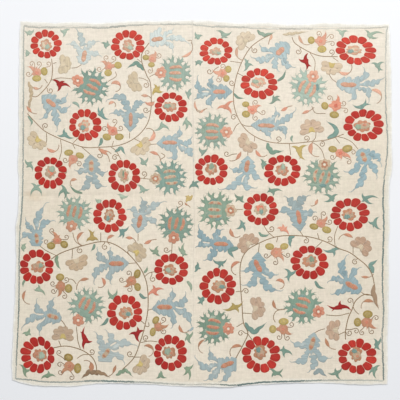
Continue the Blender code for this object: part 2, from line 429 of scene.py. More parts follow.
# ---------------------------------------------------------------------------
# colours of the silk: name, new, faded, and the tone some patches turn to
# ---------------------------------------------------------------------------
SILKS = {
    "silk_red": silk("silk_red", linear(190, 39, 27), linear(226, 82, 64), linear(148, 20, 26), 0.55,
                     linear(250, 150, 124), 0.95),
    "silk_green": silk("silk_green", linear(129, 153, 122), linear(202, 214, 194), linear(128, 162, 156), 0.82),
    "silk_blue": silk("silk_blue", linear(149, 175, 180), linear(219, 226, 219), linear(160, 172, 169), 0.86),
    "silk_peach": silk("silk_peach", linear(224, 106, 80), linear(244, 200, 172), linear(198, 142, 108), 0.94),
    "silk_beige": silk("silk_beige", linear(190, 153, 126), linear(238, 219, 191), linear(200, 184, 148), 0.88),
    "silk_ochre": silk("silk_ochre", linear(154, 127, 62), linear(222, 200, 124), linear(218, 190, 128), 0.84),
    "silk_brown": silk("silk_brown", linear(146, 116, 88), linear(204, 174, 146), linear(146, 118, 76), 0.9),
    "border_thread": silk("border_thread", linear(108, 130, 126), linear(220, 216, 203), linear(84, 108, 106), 0.94, None, 0.25),
}


# ---------------------------------------------------------------------------
# meshes
# ---------------------------------------------------------------------------
def mesh_of(name, verts, faces, vectors=None, smooth=True):
    """One mesh from arrays: vertices in millimetres, triangles or quads."""
    mesh = bpy.data.meshes.new(name)
    mesh.vertices.add(len(verts))
    mesh.vertices.foreach_set("co", (np.asarray(verts, float) * MM).ravel())
    sizes = np.concatenate([np.full(len(f), f.shape[1]) for f in faces])
    corners = np.concatenate([f.ravel() for f in faces]).astype(np.int32)
    mesh.loops.add(len(corners))
    mesh.loops.foreach_set("vertex_index", corners)
    mesh.polygons.add(len(sizes))
    mesh.polygons.foreach_set("loop_start", np.concatenate([[0], np.cumsum(sizes)[:-1]]).astype(np.int32))
    mesh.update(calc_edges=True)
    for key, values in (vectors or {}).items():
        attribute = mesh.attributes.new(key, "FLOAT_VECTOR", "POINT")
        attribute.data.foreach_set("vector", np.asarray(values, np.float32).ravel())
    mesh.validate()
    if smooth:
        mesh.shade_smooth()
    obj = bpy.data.objects.new(name, mesh)
    scene.collection.objects.link(obj)
    return obj


def stations(length, start, end):
    first, last = start[-1], length - end[-1]
    count = max(1, round((last - first) / CELL))
    middle = [first + (last - first) * k / count for k in range(1, count)]
    return np.array(list(start) + middle + [length - d for d in reversed(end)])


HEM_LINES = (0.0, 0.5, 1.6, 4.0, 8.0, HEM_WIDTH - 1.0, HEM_WIDTH, HEM_WIDTH + 0.8, HEM_WIDTH + 2.2)
SEAM_LINES = (0.0, 0.6, 1.6, SEAM_WIDTH, SEAM_WIDTH + 1.0, SEAM_WIDTH + 2.4)


def hem_rise(d):
    """Extra height of the turned hem, rounded at the fold and soft inside."""
    fold = np.sqrt(np.clip(1 - (1 - np.clip(d / 1.6, 0, 1)) ** 2, 0, 1))
    fade = 1 - np.clip((d - HEM_WIDTH + 0.6) / 1.4, 0, 1)
    return HEM_RISE * fade * (0.15 + 0.85 * fold) - (1 - fold) * 0.45


def seam_rise(d):
    fold = np.sqrt(np.clip(1 - (1 - np.clip(d / 1.6, 0, 1)) ** 2, 0, 1))
    fade = 1 - np.clip((d - SEAM_WIDTH + 0.5) / 1.5, 0, 1)
    return SEAM_RISE * fade * fold - (1 - fold) * 0.1


def ragged(s, phase):
    """Slight unevenness of a hand-turned edge along its length."""
    return (0.35 * np.sin(s / 5.3 + phase) + 0.3 * np.sin(s / 9.1 + 2.3 * phase)
            + 0.4 * np.sin(s / 21.0 + 1.7 * phase))


def loom_width(name, left, right, across, seam_on_right):
    """One loom width as a closed sheet with its hem and its selvedge."""
    width, height = across[-1], 2 * HALF_HEIGHT
    up = stations(height, HEM_LINES, HEM_LINES)
    u, v = np.meshgrid(across, up)
    y0 = v - HALF_HEIGHT
    share = v / height
    xl, xr = left(y0), right(y0)
    x = xl + (xr - xl) * u / width
    y = (y0 + (1 - share) * (follow(ENDS, "x", "bottom", x) + HALF_HEIGHT)
         + share * (follow(ENDS, "x", "top", x) - HALF_HEIGHT))
    seam_side = width - u if seam_on_right else u
    open_side = u if seam_on_right else width - u
    near = lambda d: np.clip(1 - d / 16.0, 0, 1)
    x = x + ragged(y0, 0.4) * near(open_side) * (1 if seam_on_right else -1)
    y = y + ragged(x, 1.3) * near(v) + ragged(x, 2.9) * near(height - v)
    to_hem = np.minimum(np.minimum(v, height - v), open_side)
    top = ground(x, y) + np.where(to_hem < HEM_WIDTH + 1.0, hem_rise(to_hem), 0.0)
    top = np.where(seam_side < SEAM_WIDTH + 1.5,
                   np.where(seam_side < 1.6, top + seam_rise(seam_side), np.maximum(top, ground(x, y) + seam_rise(seam_side))),
                   top)
    low = underside(x, y)
    # the turned hem's inner edge shows as a shallow step on the back
    low = low + 0.12 * np.clip(1 - np.abs(to_hem - HEM_WIDTH) / 1.5, 0, 1)
    rim = np.clip(1 - to_hem / 1.2, 0, 1)
    low = low + rim * 0.3
    top = np.maximum(top, low + 0.15)
    rows, columns = x.shape
    index = np.arange(rows * columns).reshape(rows, columns)
    a, b, c, d = index[:-1, :-1], index[:-1, 1:], index[1:, 1:], index[1:, :-1]
    quads = np.stack([a, b, c, d], -1).reshape(-1, 4)
    inward = np.stack([to_hem.ravel(), seam_side.ravel(), np.zeros(x.size)], -1)
    shift = rows * columns
    back = np.stack([a, d, c, b], -1).reshape(-1, 4) + shift
    ring = np.concatenate([index[0, :], index[1:, -1], index[-1, -2::-1], index[-2:0:-1, 0]])
    after = np.roll(ring, -1)
    side = np.stack([ring + shift, after + shift, after, ring], -1)
    points = np.concatenate([np.stack([x, y, top], -1).reshape(-1, 3),
                             np.stack([x, y, low], -1).reshape(-1, 3)])
    obj = mesh_of(name, points, [quads, back, side], {"inward": np.concatenate([inward, inward])})
    # flat layout of both faces side by side, for anything that paints it
    layout = obj.data.uv_layers.new(name="OFBake")
    across_share = (points[:, 0] + HALF_WIDTH) / (2 * HALF_WIDTH)
    lo, hi = across_share.min(), across_share.max()
    flat_u = (across_share - lo) / (hi - lo) * 0.49 + 0.003
    flat_v = (points[:, 1] + HALF_HEIGHT) / (2 * HALF_HEIGHT) * 0.99 + 0.005
    corner = np.concatenate([quads.ravel(), back.ravel(), side.ravel()])
    moved = np.concatenate([np.zeros(quads.size), np.full(back.size, 0.503), np.zeros(side.size)])
    layout.data.foreach_set("uv", np.stack([flat_u[corner] + moved, flat_v[corner]], -1).ravel())
    return obj


def seam_x(y):
    return follow(SIDES, "y", "seam", y)


panel_left = loom_width(
    "linen_left",
    lambda y: follow(SIDES, "y", "left", y), lambda y: seam_x(y) - 0.03,
    stations(HALF_WIDTH - 25, HEM_LINES, SEAM_LINES), True)
panel_right = loom_width(
    "linen_right",
    lambda y: seam_x(y) + 0.03, lambda y: follow(SIDES, "y", "right", y),
    stations(HALF_WIDTH + 25, SEAM_LINES, HEM_LINES), False)
panel_left.data.materials.append(linen("linen_left", 0.0))
panel_right.data.materials.append(linen("linen_right", 11.0))


# ---------------------------------------------------------------------------
# thread: patches and lines gathered by colour and loom width
# ---------------------------------------------------------------------------
class Skein:
    """All stitches of one colour on one loom width."""

    def __init__(self):
        self.verts, self.tris, self.stitch, self.tone, self.charts = [], [], [], [], []
        self.count = 0

    def add(self, verts, tris, stitch, tone, top_tris):
        self.charts.append((self.count, len(verts), sum(len(t) for t in self.tris), len(tris), top_tris))
        self.verts.append(verts)
        self.tris.append(tris + self.count)
        self.stitch.append(stitch)
        self.tone.append(np.tile(np.asarray(tone, float), (len(verts), 1)))
        self.count += len(verts)


SKEINS = {}


def skein(colour, x, y):
    side = "left" if x < seam_x(y) else "right"
    return SKEINS.setdefault((colour, side), Skein())


def chance(*key):
    """Seeded chance for one motif, the same each run."""
    return np.random.default_rng([int(round(abs(k) * 10)) + 5 for k in key])


def winding(points, loop):
    """How often a closed outline goes round each point."""
    a, b = loop, np.roll(loop, -1, 0)
    px, py = points[:, 0:1], points[:, 1:2]
    side = (b[:, 0] - a[:, 0]) * (py - a[:, 1]) - (px - a[:, 0]) * (b[:, 1] - a[:, 1])
    rising = (a[:, 1] <= py) & (b[:, 1] > py) & (side > 0)
    falling = (a[:, 1] > py) & (b[:, 1] <= py) & (side < 0)
    return rising.sum(1) - falling.sum(1)


def fill(loops, inner=None):
    """Delaunay triangles over closed outlines and points between them."""
    points, edges = [], []
    for loop in loops:
        n, k = len(loop), len(points)
        points += [Vector(p) for p in loop]
        edges += [(k + i, k + (i + 1) % n) for i in range(n)]
    if inner is not None:
        points += [Vector(p) for p in inner]
    out, _, faces, _, _, _ = delaunay_2d_cdt(points, edges, [], 0, 1e-4)
    return np.array([v[:] for v in out]), np.array(faces, int).reshape(-1, 3)


def border_loops(tris):
    """Closed chains of the edges that only one triangle uses."""
    ahead = {}
    used = {}
    for tri in tris.tolist():
        for i in range(3):
            a, b = tri[i], tri[(i + 1) % 3]
            used[(a, b)] = True
    for a, b in used:
        if (b, a) not in used:
            ahead.setdefault(a, []).append(b)
    loops = []
    while ahead:
        start = next(iter(ahead))
        loop, here = [start], start
        while True:
            nexts = ahead[here]
            there = nexts.pop()
            if not nexts:
                del ahead[here]
            if there == start:
                break
            loop.append(there)
            here = there
            if here not in ahead:
                break
        loops.append(loop)
    return loops


def even(loop, shortest, longest):
    """Drop points that crowd each other and split sides that are too long."""
    kept = [loop[0]]
    for p in loop[1:]:
        if math.hypot(p[0] - kept[-1][0], p[1] - kept[-1][1]) >= shortest:
            kept.append(p)
    while len(kept) > 3 and math.hypot(kept[-1][0] - kept[0][0], kept[-1][1] - kept[0][1]) < shortest:
        kept.pop()
    out = []
    for i, p in enumerate(kept):
        q = kept[(i + 1) % len(kept)]
        parts = max(1, math.ceil(math.hypot(q[0] - p[0], q[1] - p[1]) / longest))
        out += [(p[0] + (q[0] - p[0]) * k / parts, p[1] + (q[1] - p[1]) * k / parts) for k in range(parts)]
    return np.array(out)


def joined(shapes, holes):
    """The outline of several shapes together, less the holes."""
    flat, tris = fill(list(shapes) + list(holes))
    middle = flat[tris].mean(1)
    keep = np.zeros(len(tris), bool)
    for shape in shapes:
        keep |= winding(middle, shape) != 0
    for hole in holes:
        keep &= winding(middle, hole) == 0
    loops = [flat[loop] for loop in border_loops(tris[keep]) if len(loop) > 2]
    return [loop for loop in loops if abs(area(loop)) > 1.5]


def area(loop):
    x, y = loop[:, 0], loop[:, 1]
    return 0.5 * float(np.dot(x, np.roll(y, -1)) - np.dot(y, np.roll(x, -1)))


def edge_distance(points, loops):
    far = np.full(len(points), 1e9)
    for loop in loops:
        a, b = loop, np.roll(loop, -1, 0)
        ab = b - a
        long = np.maximum((ab ** 2).sum(1), 1e-9)
        for k in range(0, len(points), 400):
            p = points[k:k + 400, None, :]
            t = np.clip(((p - a) * ab).sum(-1) / long, 0, 1)
            gap = np.sqrt(((p - a - ab * t[..., None]) ** 2).sum(-1)).min(1)
            far[k:k + 400] = np.minimum(far[k:k + 400], gap)
    return far


PITCH = 2.5       # spacing of the points inside a patch
EDGE = 1.35       # and along its outline
BASE = 0.16       # how high a patch's rim stands on the linen
LAYER = 0.38      # and how much higher each patch laid on another starts


def patch(colour, shapes, holes=(), along=0.0, tone=(0.0, 0.0), level=0, puff=0.28, seed=None):
    """A filled patch of satin stitch. shapes and holes are outlines in the
    view's frame, along is the way its threads run there, in degrees."""
    shapes = [np.stack(to_mm(s[:, 0], s[:, 1]), -1) for s in shapes]
    holes = [np.stack(to_mm(h[:, 0], h[:, 1]), -1) for h in holes]
    loops = joined(shapes, holes) if len(shapes) > 1 or holes else shapes
    loops = [even([tuple(p) for p in loop], EDGE * 0.55, EDGE * 1.35) for loop in loops]
    loops = [loop for loop in loops if len(loop) > 3]
    if not loops:
        return
    every = np.concatenate(loops)
    lo, hi = every.min(0), every.max(0)
    centre = (lo + hi) / 2
    if seed is None:
        seed = float(chance(centre[0], centre[1]).uniform())
    xs = np.arange(lo[0], hi[0], PITCH)
    ys = np.arange(lo[1], hi[1], PITCH * 0.866)
    gx, gy = np.meshgrid(xs, ys)
    gx = gx + (np.arange(len(ys)) % 2)[:, None] * PITCH / 2
    grid = np.stack([gx.ravel(), gy.ravel()], -1)
    turns = sum(winding(grid, loop) for loop in loops) if grid.size else np.zeros(0)
    grid = grid[np.array([abs(w) % 2 == 1 for w in turns], bool)] if grid.size else grid
    if len(grid):
        gap = edge_distance(grid, loops)
        grid = grid[gap > EDGE * 0.62]
    flat, tris = fill(loops, grid)
    inside = np.abs(sum(winding(flat[tris].mean(1), loop) for loop in loops)) % 2 == 1
    tris = tris[inside]
    if not len(tris):
        return
    # outline points, and the same ones again underneath
    key = {}
    rings = border_loops(tris)
    on_rim = sorted({i for ring in rings for i in ring})
    floor_flat, floor_tris = fill(loops)
    inside = np.abs(sum(winding(floor_flat[floor_tris].mean(1), loop) for loop in loops)) % 2 == 1
    floor_tris = floor_tris[inside]
    for n, i in enumerate(on_rim):
        key[(round(flat[i, 0], 3), round(flat[i, 1], 3))] = n
    far = edge_distance(flat, loops)
    far[on_rim] = 0.0
    rise = BASE + LAYER * level + puff * (1 - np.exp(-far / 1.1))
    wobble = 0.05 * np.sin(flat[:, 0] * 1.9 + 7 * seed) * np.sin(flat[:, 1] * 2.3 + 11 * seed)
    top = ground(flat[:, 0], flat[:, 1]) + rise + wobble * (far > 0.5)
    verts = np.column_stack([flat, top])
    rim = np.array(on_rim)
    low = verts[rim].copy()
    # the skirt spreads a little where the threads dive into the linen
    spread = np.zeros((len(flat), 2))
    for ring in rings:
        p = flat[ring]
        way = np.roll(p, -1, 0) - np.roll(p, 1, 0)
        way /= np.maximum(np.linalg.norm(way, axis=1, keepdims=True), 1e-6)
        spread[ring] = np.stack([way[:, 1], -way[:, 0]], -1)
    low[:, :2] += spread[rim] * (0.12 + 0.08 * level)
    low[:, 2] = ground(low[:, 0], low[:, 1]) - 0.25
    place = {i: len(verts) + n for n, i in enumerate(on_rim)}
    skirt = []
    for ring in rings:
        for i, j in zip(ring, ring[1:] + ring[:1]):
            skirt += [(j, i, place[i]), (j, place[i], place[j])]
    matched = [key.get((round(p[0], 3), round(p[1], 3))) for p in floor_flat]
    below = [(matched[c] + len(verts), matched[b] + len(verts), matched[a] + len(verts))
             for a, b, c in floor_tris.tolist()
             if matched[a] is not None and matched[b] is not None and matched[c] is not None]
    points = np.concatenate([verts, low])
    a = -math.radians(along)
    u = points[:, 0] * math.cos(a) + points[:, 1] * math.sin(a)
    v = -points[:, 0] * math.sin(a) + points[:, 1] * math.cos(a)
    depth = np.concatenate([far, np.zeros(len(low))])
    skein(colour, centre[0], centre[1]).add(
        points, np.concatenate([tris, np.array(skirt, int), np.array(below, int).reshape(-1, 3)]),
        np.column_stack([u - u.mean(), v - v.mean(), depth]), (tone[0], tone[1], seed), len(tris))


def smooth_line(points, step=0.5):
    """Points a step apart on a smooth curve through the given ones."""
    p = np.asarray(points, float)
    if len(p) == 2:
        n = max(2, int(np.linalg.norm(p[1] - p[0]) / step) + 1)
        return p[0] + (p[1] - p[0]) * np.linspace(0, 1, n)[:, None]
    ends = np.vstack([2 * p[0] - p[1], p, 2 * p[-1] - p[-2]])
    out = []
    for k in range(1, len(ends) - 2):
        a, b, c, d = ends[k - 1:k + 3]
        m = max(4, int(np.linalg.norm(c - b) / step * 2) + 1)
        t = np.linspace(0, 1, m, endpoint=False)[:, None]
        out.append(0.5 * (2 * b + (c - a) * t + (2 * a - 5 * b + 4 * c - d) * t ** 2
                          + (-a + 3 * b - 3 * c + d) * t ** 3))
    fine = np.vstack(out + [p[-1:]])
    run = np.concatenate([[0], np.cumsum(np.linalg.norm(np.diff(fine, axis=0), axis=1))])
    n = max(2, int(run[-1] / step) + 1)
    at = np.linspace(0, run[-1], n)
    return np.stack([np.interp(at, run, fine[:, 0]), np.interp(at, run, fine[:, 1])], -1)


def line(colour, points, width=1.7, high=0.4, tone=(0.0, 0.0), step=0.72, ready=False, seed=None, twist=3.6,
         hemmed=False):
    """A line of stem stitch along points in the view's frame."""
    run = points if ready else smooth_line(points, step)
    if len(run) < 2:
        return
    x, y = to_mm(run[:, 0], run[:, 1])
    c = np.stack([x, y], -1)
    way = np.gradient(c, axis=0)
    way /= np.maximum(np.linalg.norm(way, axis=1, keepdims=True), 1e-6)
    side = np.stack([-way[:, 1], way[:, 0]], -1)
    s = np.concatenate([[0], np.cumsum(np.linalg.norm(np.diff(c, axis=0), axis=1))])
    if seed is None:
        seed = float(chance(c[0, 0], c[0, 1], len(c)).uniform())
    ends = np.clip(np.minimum(s, s[-1] - s) / 1.6, 0, 1)
    half = width / 2 * (0.35 + 0.65 * np.sqrt(ends)) * (1 + 0.12 * np.sin(s * 2 * math.pi / twist / 1.7 + 9 * seed))
    lean = 0.12 * width * np.sin(s * 2 * math.pi / twist + 5 * seed)
    profile = ((-1.0, -0.25), (-0.72, 0.62), (0.0, 1.0), (0.72, 0.62), (1.0, -0.25))
    n, m = len(c), len(profile)
    verts, stitch = [], []
    for share, up in profile:
        place = c + side * (half * share)[:, None] + side * (lean * (up > 0))[:, None] * 0.5
        z = ground(place[:, 0], place[:, 1]) + (up * high if up > 0 else -0.2)
        if hemmed:
            z = z + over_hem(place[:, 0], place[:, 1])
        verts.append(np.column_stack([place, z]))
        slant = s + share * width * 0.9
        stitch.append(np.column_stack([slant, share * half + s * 0.0, np.full(n, 0.4 + 1.3 * max(up, 0))]))
    points3 = np.stack(verts, 1).reshape(-1, 3)
    stitches = np.stack(stitch, 1).reshape(-1, 3)
    i = np.arange(n - 1)[:, None] * m
    j = np.arange(m)[None, :]
    k = (j + 1) % m
    a, b, d, e = i + j, i + k, i + m + k, i + m + j
    quads_a = np.stack([a, e, d], -1).reshape(-1, 3)
    quads_b = np.stack([a, d, b], -1).reshape(-1, 3)
    cap0 = np.array([(0, q, q + 1) for q in range(1, m - 1)])
    last = (n - 1) * m
    cap1 = np.array([(last, last + q + 1, last + q) for q in range(1, m - 1)])
    tris = np.concatenate([quads_a, quads_b, cap0, cap1])
    middle = c[n // 2]
    skein(colour, middle[0], middle[1]).add(points3, tris, stitches, (tone[0], tone[1], seed), len(tris))


# ---------------------------------------------------------------------------
# motifs, drawn in the view's frame
# ---------------------------------------------------------------------------
def turned(shape, angle, x=0.0, y=0.0, sx=1.0, sy=1.0):
    a = math.radians(angle)
    p = np.asarray(shape, float) * (sx, sy)
    return np.stack([p[:, 0] * math.cos(a) - p[:, 1] * math.sin(a) + x,
                     p[:, 0] * math.sin(a) + p[:, 1] * math.cos(a) + y], -1)


def squarish(phi, power):
    c, s = np.cos(phi), np.sin(phi)
    return np.sign(c) * np.abs(c) ** power, np.sign(s) * np.abs(s) ** power


def oval(x, y, rx, ry, angle=0.0, points=22, power=1.0):
    c, s = squarish(np.linspace(0, 2 * math.pi, points, endpoint=False), power)
    return turned(np.stack([c * rx, s * ry], -1), angle, x, y)


def lobed(x, y, radius, lobes, depth=0.16, angle=0.0, sx=1.0, sy=1.0, rnd=None, sharp=1.0):
    """A round shape with a rim of even lobes."""
    count = max(28, int(radius * 2 * math.pi / 0.45))
    phi = np.linspace(0, 2 * math.pi, count, endpoint=False)
    bump = np.abs(np.cos(lobes * phi / 2)) ** sharp
    r = radius * (1 - depth + depth * bump * 1.15)
    if rnd is not None:
        r = r * (1 + 0.05 * np.sin(2 * phi + rnd.uniform(0, 6)) + 0.04 * np.sin(3 * phi + rnd.uniform(0, 6)))
    return turned(np.stack([r * np.cos(phi) * sx, r * np.sin(phi) * sy], -1), angle, x, y)


def leaf(spine, width, bulge=0.35, root=0.3, lobes=0, depth=0.4, offset=0.0):
    """A leaf along a spine: widest at bulge, drawn out to a thin tip, with
    scalloped sides if it has lobes."""
    c = smooth_line(spine, 0.42)
    n = len(c)
    t = np.linspace(0, 1, n)
    way = np.gradient(c, axis=0)
    way /= np.maximum(np.linalg.norm(way, axis=1, keepdims=True), 1e-6)
    side = np.stack([-way[:, 1], way[:, 0]], -1)
    rise = root + (1 - root) * np.sin(math.pi / 2 * np.clip(t / bulge, 0, 1))
    fall = np.cos(math.pi / 2 * np.clip((t - bulge) / (1 - bulge), 0, 1)) ** 1.15
    half = width / 2 * np.minimum(rise, 1) * fall
    half = np.maximum(half, 0.3 * (1 - t) + 0.2)
    def edge(shift):
        if not lobes:
            return half
        wave = np.abs(np.sin(math.pi * (lobes * t + shift)))
        return half * (1 - depth + depth * 1.25 * wave)
    left = c + side * edge(offset)[:, None]
    right = c - side * edge(offset + 0.5)[:, None]
    return np.vstack([left, right[::-1]])


def away(x, y, spots):
    """The nearest of some spots."""
    return min(spots, key=lambda p: (p[0] - x) ** 2 + (p[1] - y) ** 2)


Rosette = namedtuple("Rosette", "x y rx ry petals first lean hole_x hole_y heart heart_x heart_y heart_w heart_h "
                                "eye eye_x eye_y eye_w eye_h eye_deep fade")
P, E, G, B = "silk_peach", "silk_beige", "silk_green", "silk_blue"
ROSETTES = [
    Rosette(45.9, 44.4, 15.7, 14.5, 12, 94, 0, 0, 0, P, 0.2, 0.8, 5.4, 5.6, G, 1.6, 2.5, 2.3, 2.8, 0.2, 0.75),
    Rosette(127.9, 45.3, 16.9, 15.1, 12, 100, -6, 0, 0, P, 0.2, 0.6, 5.6, 5.6, G, 2.5, 2.5, 2.4, 2.4, 0.2, 0.75),
    Rosette(170.9, 107.4, 16.8, 15.4, 12, 80, 0, -0.6, -0.5, P, -1.0, -0.6, 6.4, 5.0, G, -3.4, -1.4, 3.6, 2.6, 0.5, 0.3),
    Rosette(85.2, 125.0, 16.8, 16.4, 12, 107, 0, -0.6, 0, P, -0.9, 0.9, 5.6, 5.6, B, -2.2, 2.5, 2.6, 3.0, 0.5, 0.45),
    Rosette(50.4, 172.8, 16.3, 15.9, 12, 105, 0, 0, -0.8, E, 0.1, -0.9, 5.2, 5.8, G, 1.7, -3.6, 3.1, 3.0, 0.4, 0.0),
    Rosette(124.0, 176.0, 16.3, 16.9, 12, 108, 0, 0, 0, E, -0.2, -0.4, 5.2, 6.2, G, -0.6, -1.6, 1.0, 4.6, 1.0, 0.25),
    Rosette(215.9, 51.3, 16.7, 13.9, 12, 103, 0, 0.4, 0, P, -0.6, 0.2, 5.2, 4.0, G, 2.9, 1.9, 2.2, 1.7, 0.3, 0.85),
    Rosette(355.6, 50.4, 20.3, 14.5, 12, 100, 12, -0.6, 0, P, -2.0, 0, 7.8, 4.3, B, -5.0, 0.9, 3.0, 2.1, 0.2, 0.9),
    Rosette(259.3, 83.8, 18.5, 15.3, 12, 99, 4, -0.5, -0.5, P, -1.0, -1.2, 6.8, 5.0, G, -3.9, -2.3, 3.2, 2.3, 0.4, 0.75),
    Rosette(364.2, 125.6, 20.2, 16.2, 12, 95, 0, -0.8, 0, P, -1.8, 0.4, 8.2, 5.2, G, -6.0, 1.3, 3.0, 3.0, 0.7, 0.22),
    Rosette(211.5, 169.9, 16.7, 15.5, 12, 109, 0, -0.3, 0.4, P, -0.2, -0.8, 5.4, 5.8, G, 0.1, -3.6, 2.6, 3.2, 0.7, 0.28),
    Rosette(282.5, 170.5, 19.0, 16.0, 12, 100, -6, 0, -0.4, P, -0.4, -0.6, 5.8, 5.8, G, 0.6, -3.8, 2.3, 3.0, 0.5, 0.15),
    Rosette(260.5, 209.3, 17.6, 16.4, 12, 107, 0, 0, 0.3, E, 0.2, 0.2, 5.8, 5.8, B, 0.9, 2.2, 1.9, 3.0, 0.8, 0.22),
    Rosette(350.0, 214.3, 19.4, 16.6, 12, 101, 0, -0.4, 0, P, -1.3, 0.3, 6.4, 5.6, B, -3.0, 2.4, 3.0, 2.6, 0.6, 0.27),
    Rosette(109.7, 215.7, 17.0, 17.0, 12, 108, 0, 0, 0, P, -0.4, -0.2, 5.2, 6.0, B, -1.7, 2.6, 1.8, 2.9, 0.7, 0.33),
    Rosette(37.0, 266.6, 17.2, 18.3, 12, 108, 0, 0, 0, P, 1.2, 0.3, 6.2, 5.6, G, 4.0, -1.3, 2.3, 2.2, 0.6, 0.0),
    Rosette(171.2, 269.5, 17.5, 15.8, 11, 118, 0, -0.4, 0, P, -1.2, 0.4, 6.2, 5.4, G, -2.6, 0.6, 3.0, 2.6, 0.45, 0.18),
    Rosette(125.0, 312.2, 18.0, 18.2, 12, 91, 0, 0, 0, P, 0.7, 0.4, 6.2, 6.0, B, 3.4, 1.8, 2.6, 2.4, 0.9, 0.25),
    Rosette(37.6, 355.0, 17.3, 18.6, 12, 107, 0, 1.8, 0, P, 2.6, 0.0, 6.4, 6.2, G, 4.4, 0.4, 3.2, 3.4, 0.5, 0.0),
    Rosette(170.3, 353.0, 17.1, 18.2, 12, 98, 0, -0.6, 0, P, -1.1, -0.6, 6.0, 6.0, G, -2.6, -1.6, 3.2, 3.6, 0.5, 0.08),
    Rosette(309.4, 262.5, 18.8, 17.6, 12, 115, 0, 0, -0.6, P, 0.4, -1.4, 6.6, 6.2, G, 2.2, -3.4, 2.7, 2.9, 0.9, 0.2),
    Rosette(217.9, 286.1, 18.0, 18.0, 12, 95, 0, -0.3, 0, P, 0.9, 0.2, 6.8, 5.8, B, 4.2, 0.6, 3.0, 2.2, 0.8, 0.25),
    Rosette(260.8, 354.3, 19.3, 18.2, 12, 104, -4, 0, 0, P, -0.8, -2.2, 6.4, 6.8, B, -2.4, -4.6, 2.7, 2.8, 0.8, 0.3),
    Rosette(356.9, 356.3, 19.3, 17.7, 12, 110, 0, -0.2, 0, P, -0.9, -2.6, 6.2, 6.8, B, -2.6, -5.4, 2.6, 2.5, 0.8, 0.2),
]


def ragged_blob(x, y, w, h, teeth, depth, rnd, angle=0.0):
    """A small hand-worked blob: uneven teeth round a soft oval."""
    phi = np.linspace(0, 2 * math.pi, 44, endpoint=False)
    shift = rnd.uniform(0, 2 * math.pi)
    wave = np.abs(np.sin(teeth / 2 * (phi + 0.22 * np.sin(2 * phi + shift)) + shift))
    r = 1 - depth + depth * 1.3 * wave + 0.07 * np.sin(2 * phi + 2 * shift) + 0.05 * np.sin(3 * phi - shift)
    return turned(np.stack([r * w * np.cos(phi), r * h * np.sin(phi)], -1), angle, x, y)


def rosette(r):
    """A ring of red petals with round outer ends round a small ragged flower."""
    rnd = chance(r.x, r.y)
    share = 1 + rnd.uniform(-0.12, 0.12, r.petals)
    share *= 2 * math.pi / share.sum()
    first = math.radians(-r.first - r.lean)
    first = math.atan2(math.sin(first) / r.ry, math.cos(first) / r.rx)
    edge = first - share[0] / 2 + np.concatenate([[0], np.cumsum(share)])
    size = (r.rx + r.ry) / 2
    arc = np.linspace(0, math.pi, 17)
    low_c, low_s = squarish(arc, 0.62)
    across = np.concatenate([np.cos(arc), -0.97 * low_c])
    up = np.concatenate([0.1 + 0.9 * np.sin(arc) ** 0.88, -0.6 - 0.4 * low_s])
    for k in range(r.petals):
        middle, half = (edge[k] + edge[k + 1]) / 2, (edge[k + 1] - edge[k]) / 2
        inner = 0.508 + rnd.uniform(-0.03, 0.03)
        outer = 1.01 + rnd.uniform(-0.045, 0.035)
        rad = (inner + outer) / 2 + (outer - inner) / 2 * up
        ang = middle + (half - 0.03 / (size * rad)) * across + 0.03 * rnd.uniform(-1, 1) * up
        p = np.stack([r.rx * rad * np.cos(ang), r.ry * rad * np.sin(ang)], -1)
        p = turned(p, r.lean, r.x, r.y)
        p = p + np.clip((1 - rad) / 0.46, 0, 1)[:, None] * (r.hole_x, r.hole_y)
        low = float(np.clip((r.y - 90) / 200, 0, 1))
        deep = float(np.clip(rnd.normal(0.05 + 0.12 * low, 0.12), 0, 0.5)) * (1 - 0.6 * r.fade)
        patch("silk_red", [p], along=math.degrees(middle) + r.lean, tone=(0.6 * r.fade + rnd.uniform(-0.12, 0.14), deep),
              puff=0.34, seed=float(rnd.uniform()))
    warm = 0.15 + 0.35 * rnd.uniform()
    x, y = r.x + r.heart_x, r.y + r.heart_y
    other = P if r.heart == E else E
    low = float(np.clip((r.y - 90) / 160, 0, 1))
    heart = ragged_blob(x, y, r.heart_w * 1.08, r.heart_h * 1.08, 7, 0.22, rnd)
    patch(r.heart, [heart], along=80 + rnd.uniform(-15, 15),
          tone=(0.34 + 0.62 * r.fade - 0.2 * low, min(1.0, warm + (0.1 + 0.6 * low if r.heart == P else 0.0))), puff=0.16)
    shift = rnd.uniform(-1, 1, 2)
    patch(other, [ragged_blob(x + shift[0] - r.eye_x * 0.2, y + shift[1] - r.eye_y * 0.2, r.heart_w * 0.66,
                              r.heart_h * 0.62, 6, 0.22, rnd)],
          along=40, tone=(0.3 + 0.6 * r.fade - 0.35 * low, 0.15 + 0.3 * rnd.uniform()), level=1, puff=0.1)
    patch(r.heart, [ragged_blob(x - shift[0] - r.eye_x * 0.5, y - shift[1] - r.eye_y * 0.5, r.heart_w * 0.3,
                                r.heart_h * 0.3, 5, 0.2, rnd)],
          along=100, tone=(0.35 + 0.6 * r.fade, 0.3 + 0.4 * low), level=2, puff=0.08)
    eye = ragged_blob(r.x + r.eye_x, r.y + r.eye_y, r.eye_w, r.eye_h, 5, 0.2, rnd)
    patch("silk_green", [eye], along=90, tone=(0.78 - 0.66 * r.eye_deep, 0.7 if r.eye == B else 0.0), level=2, puff=0.1)


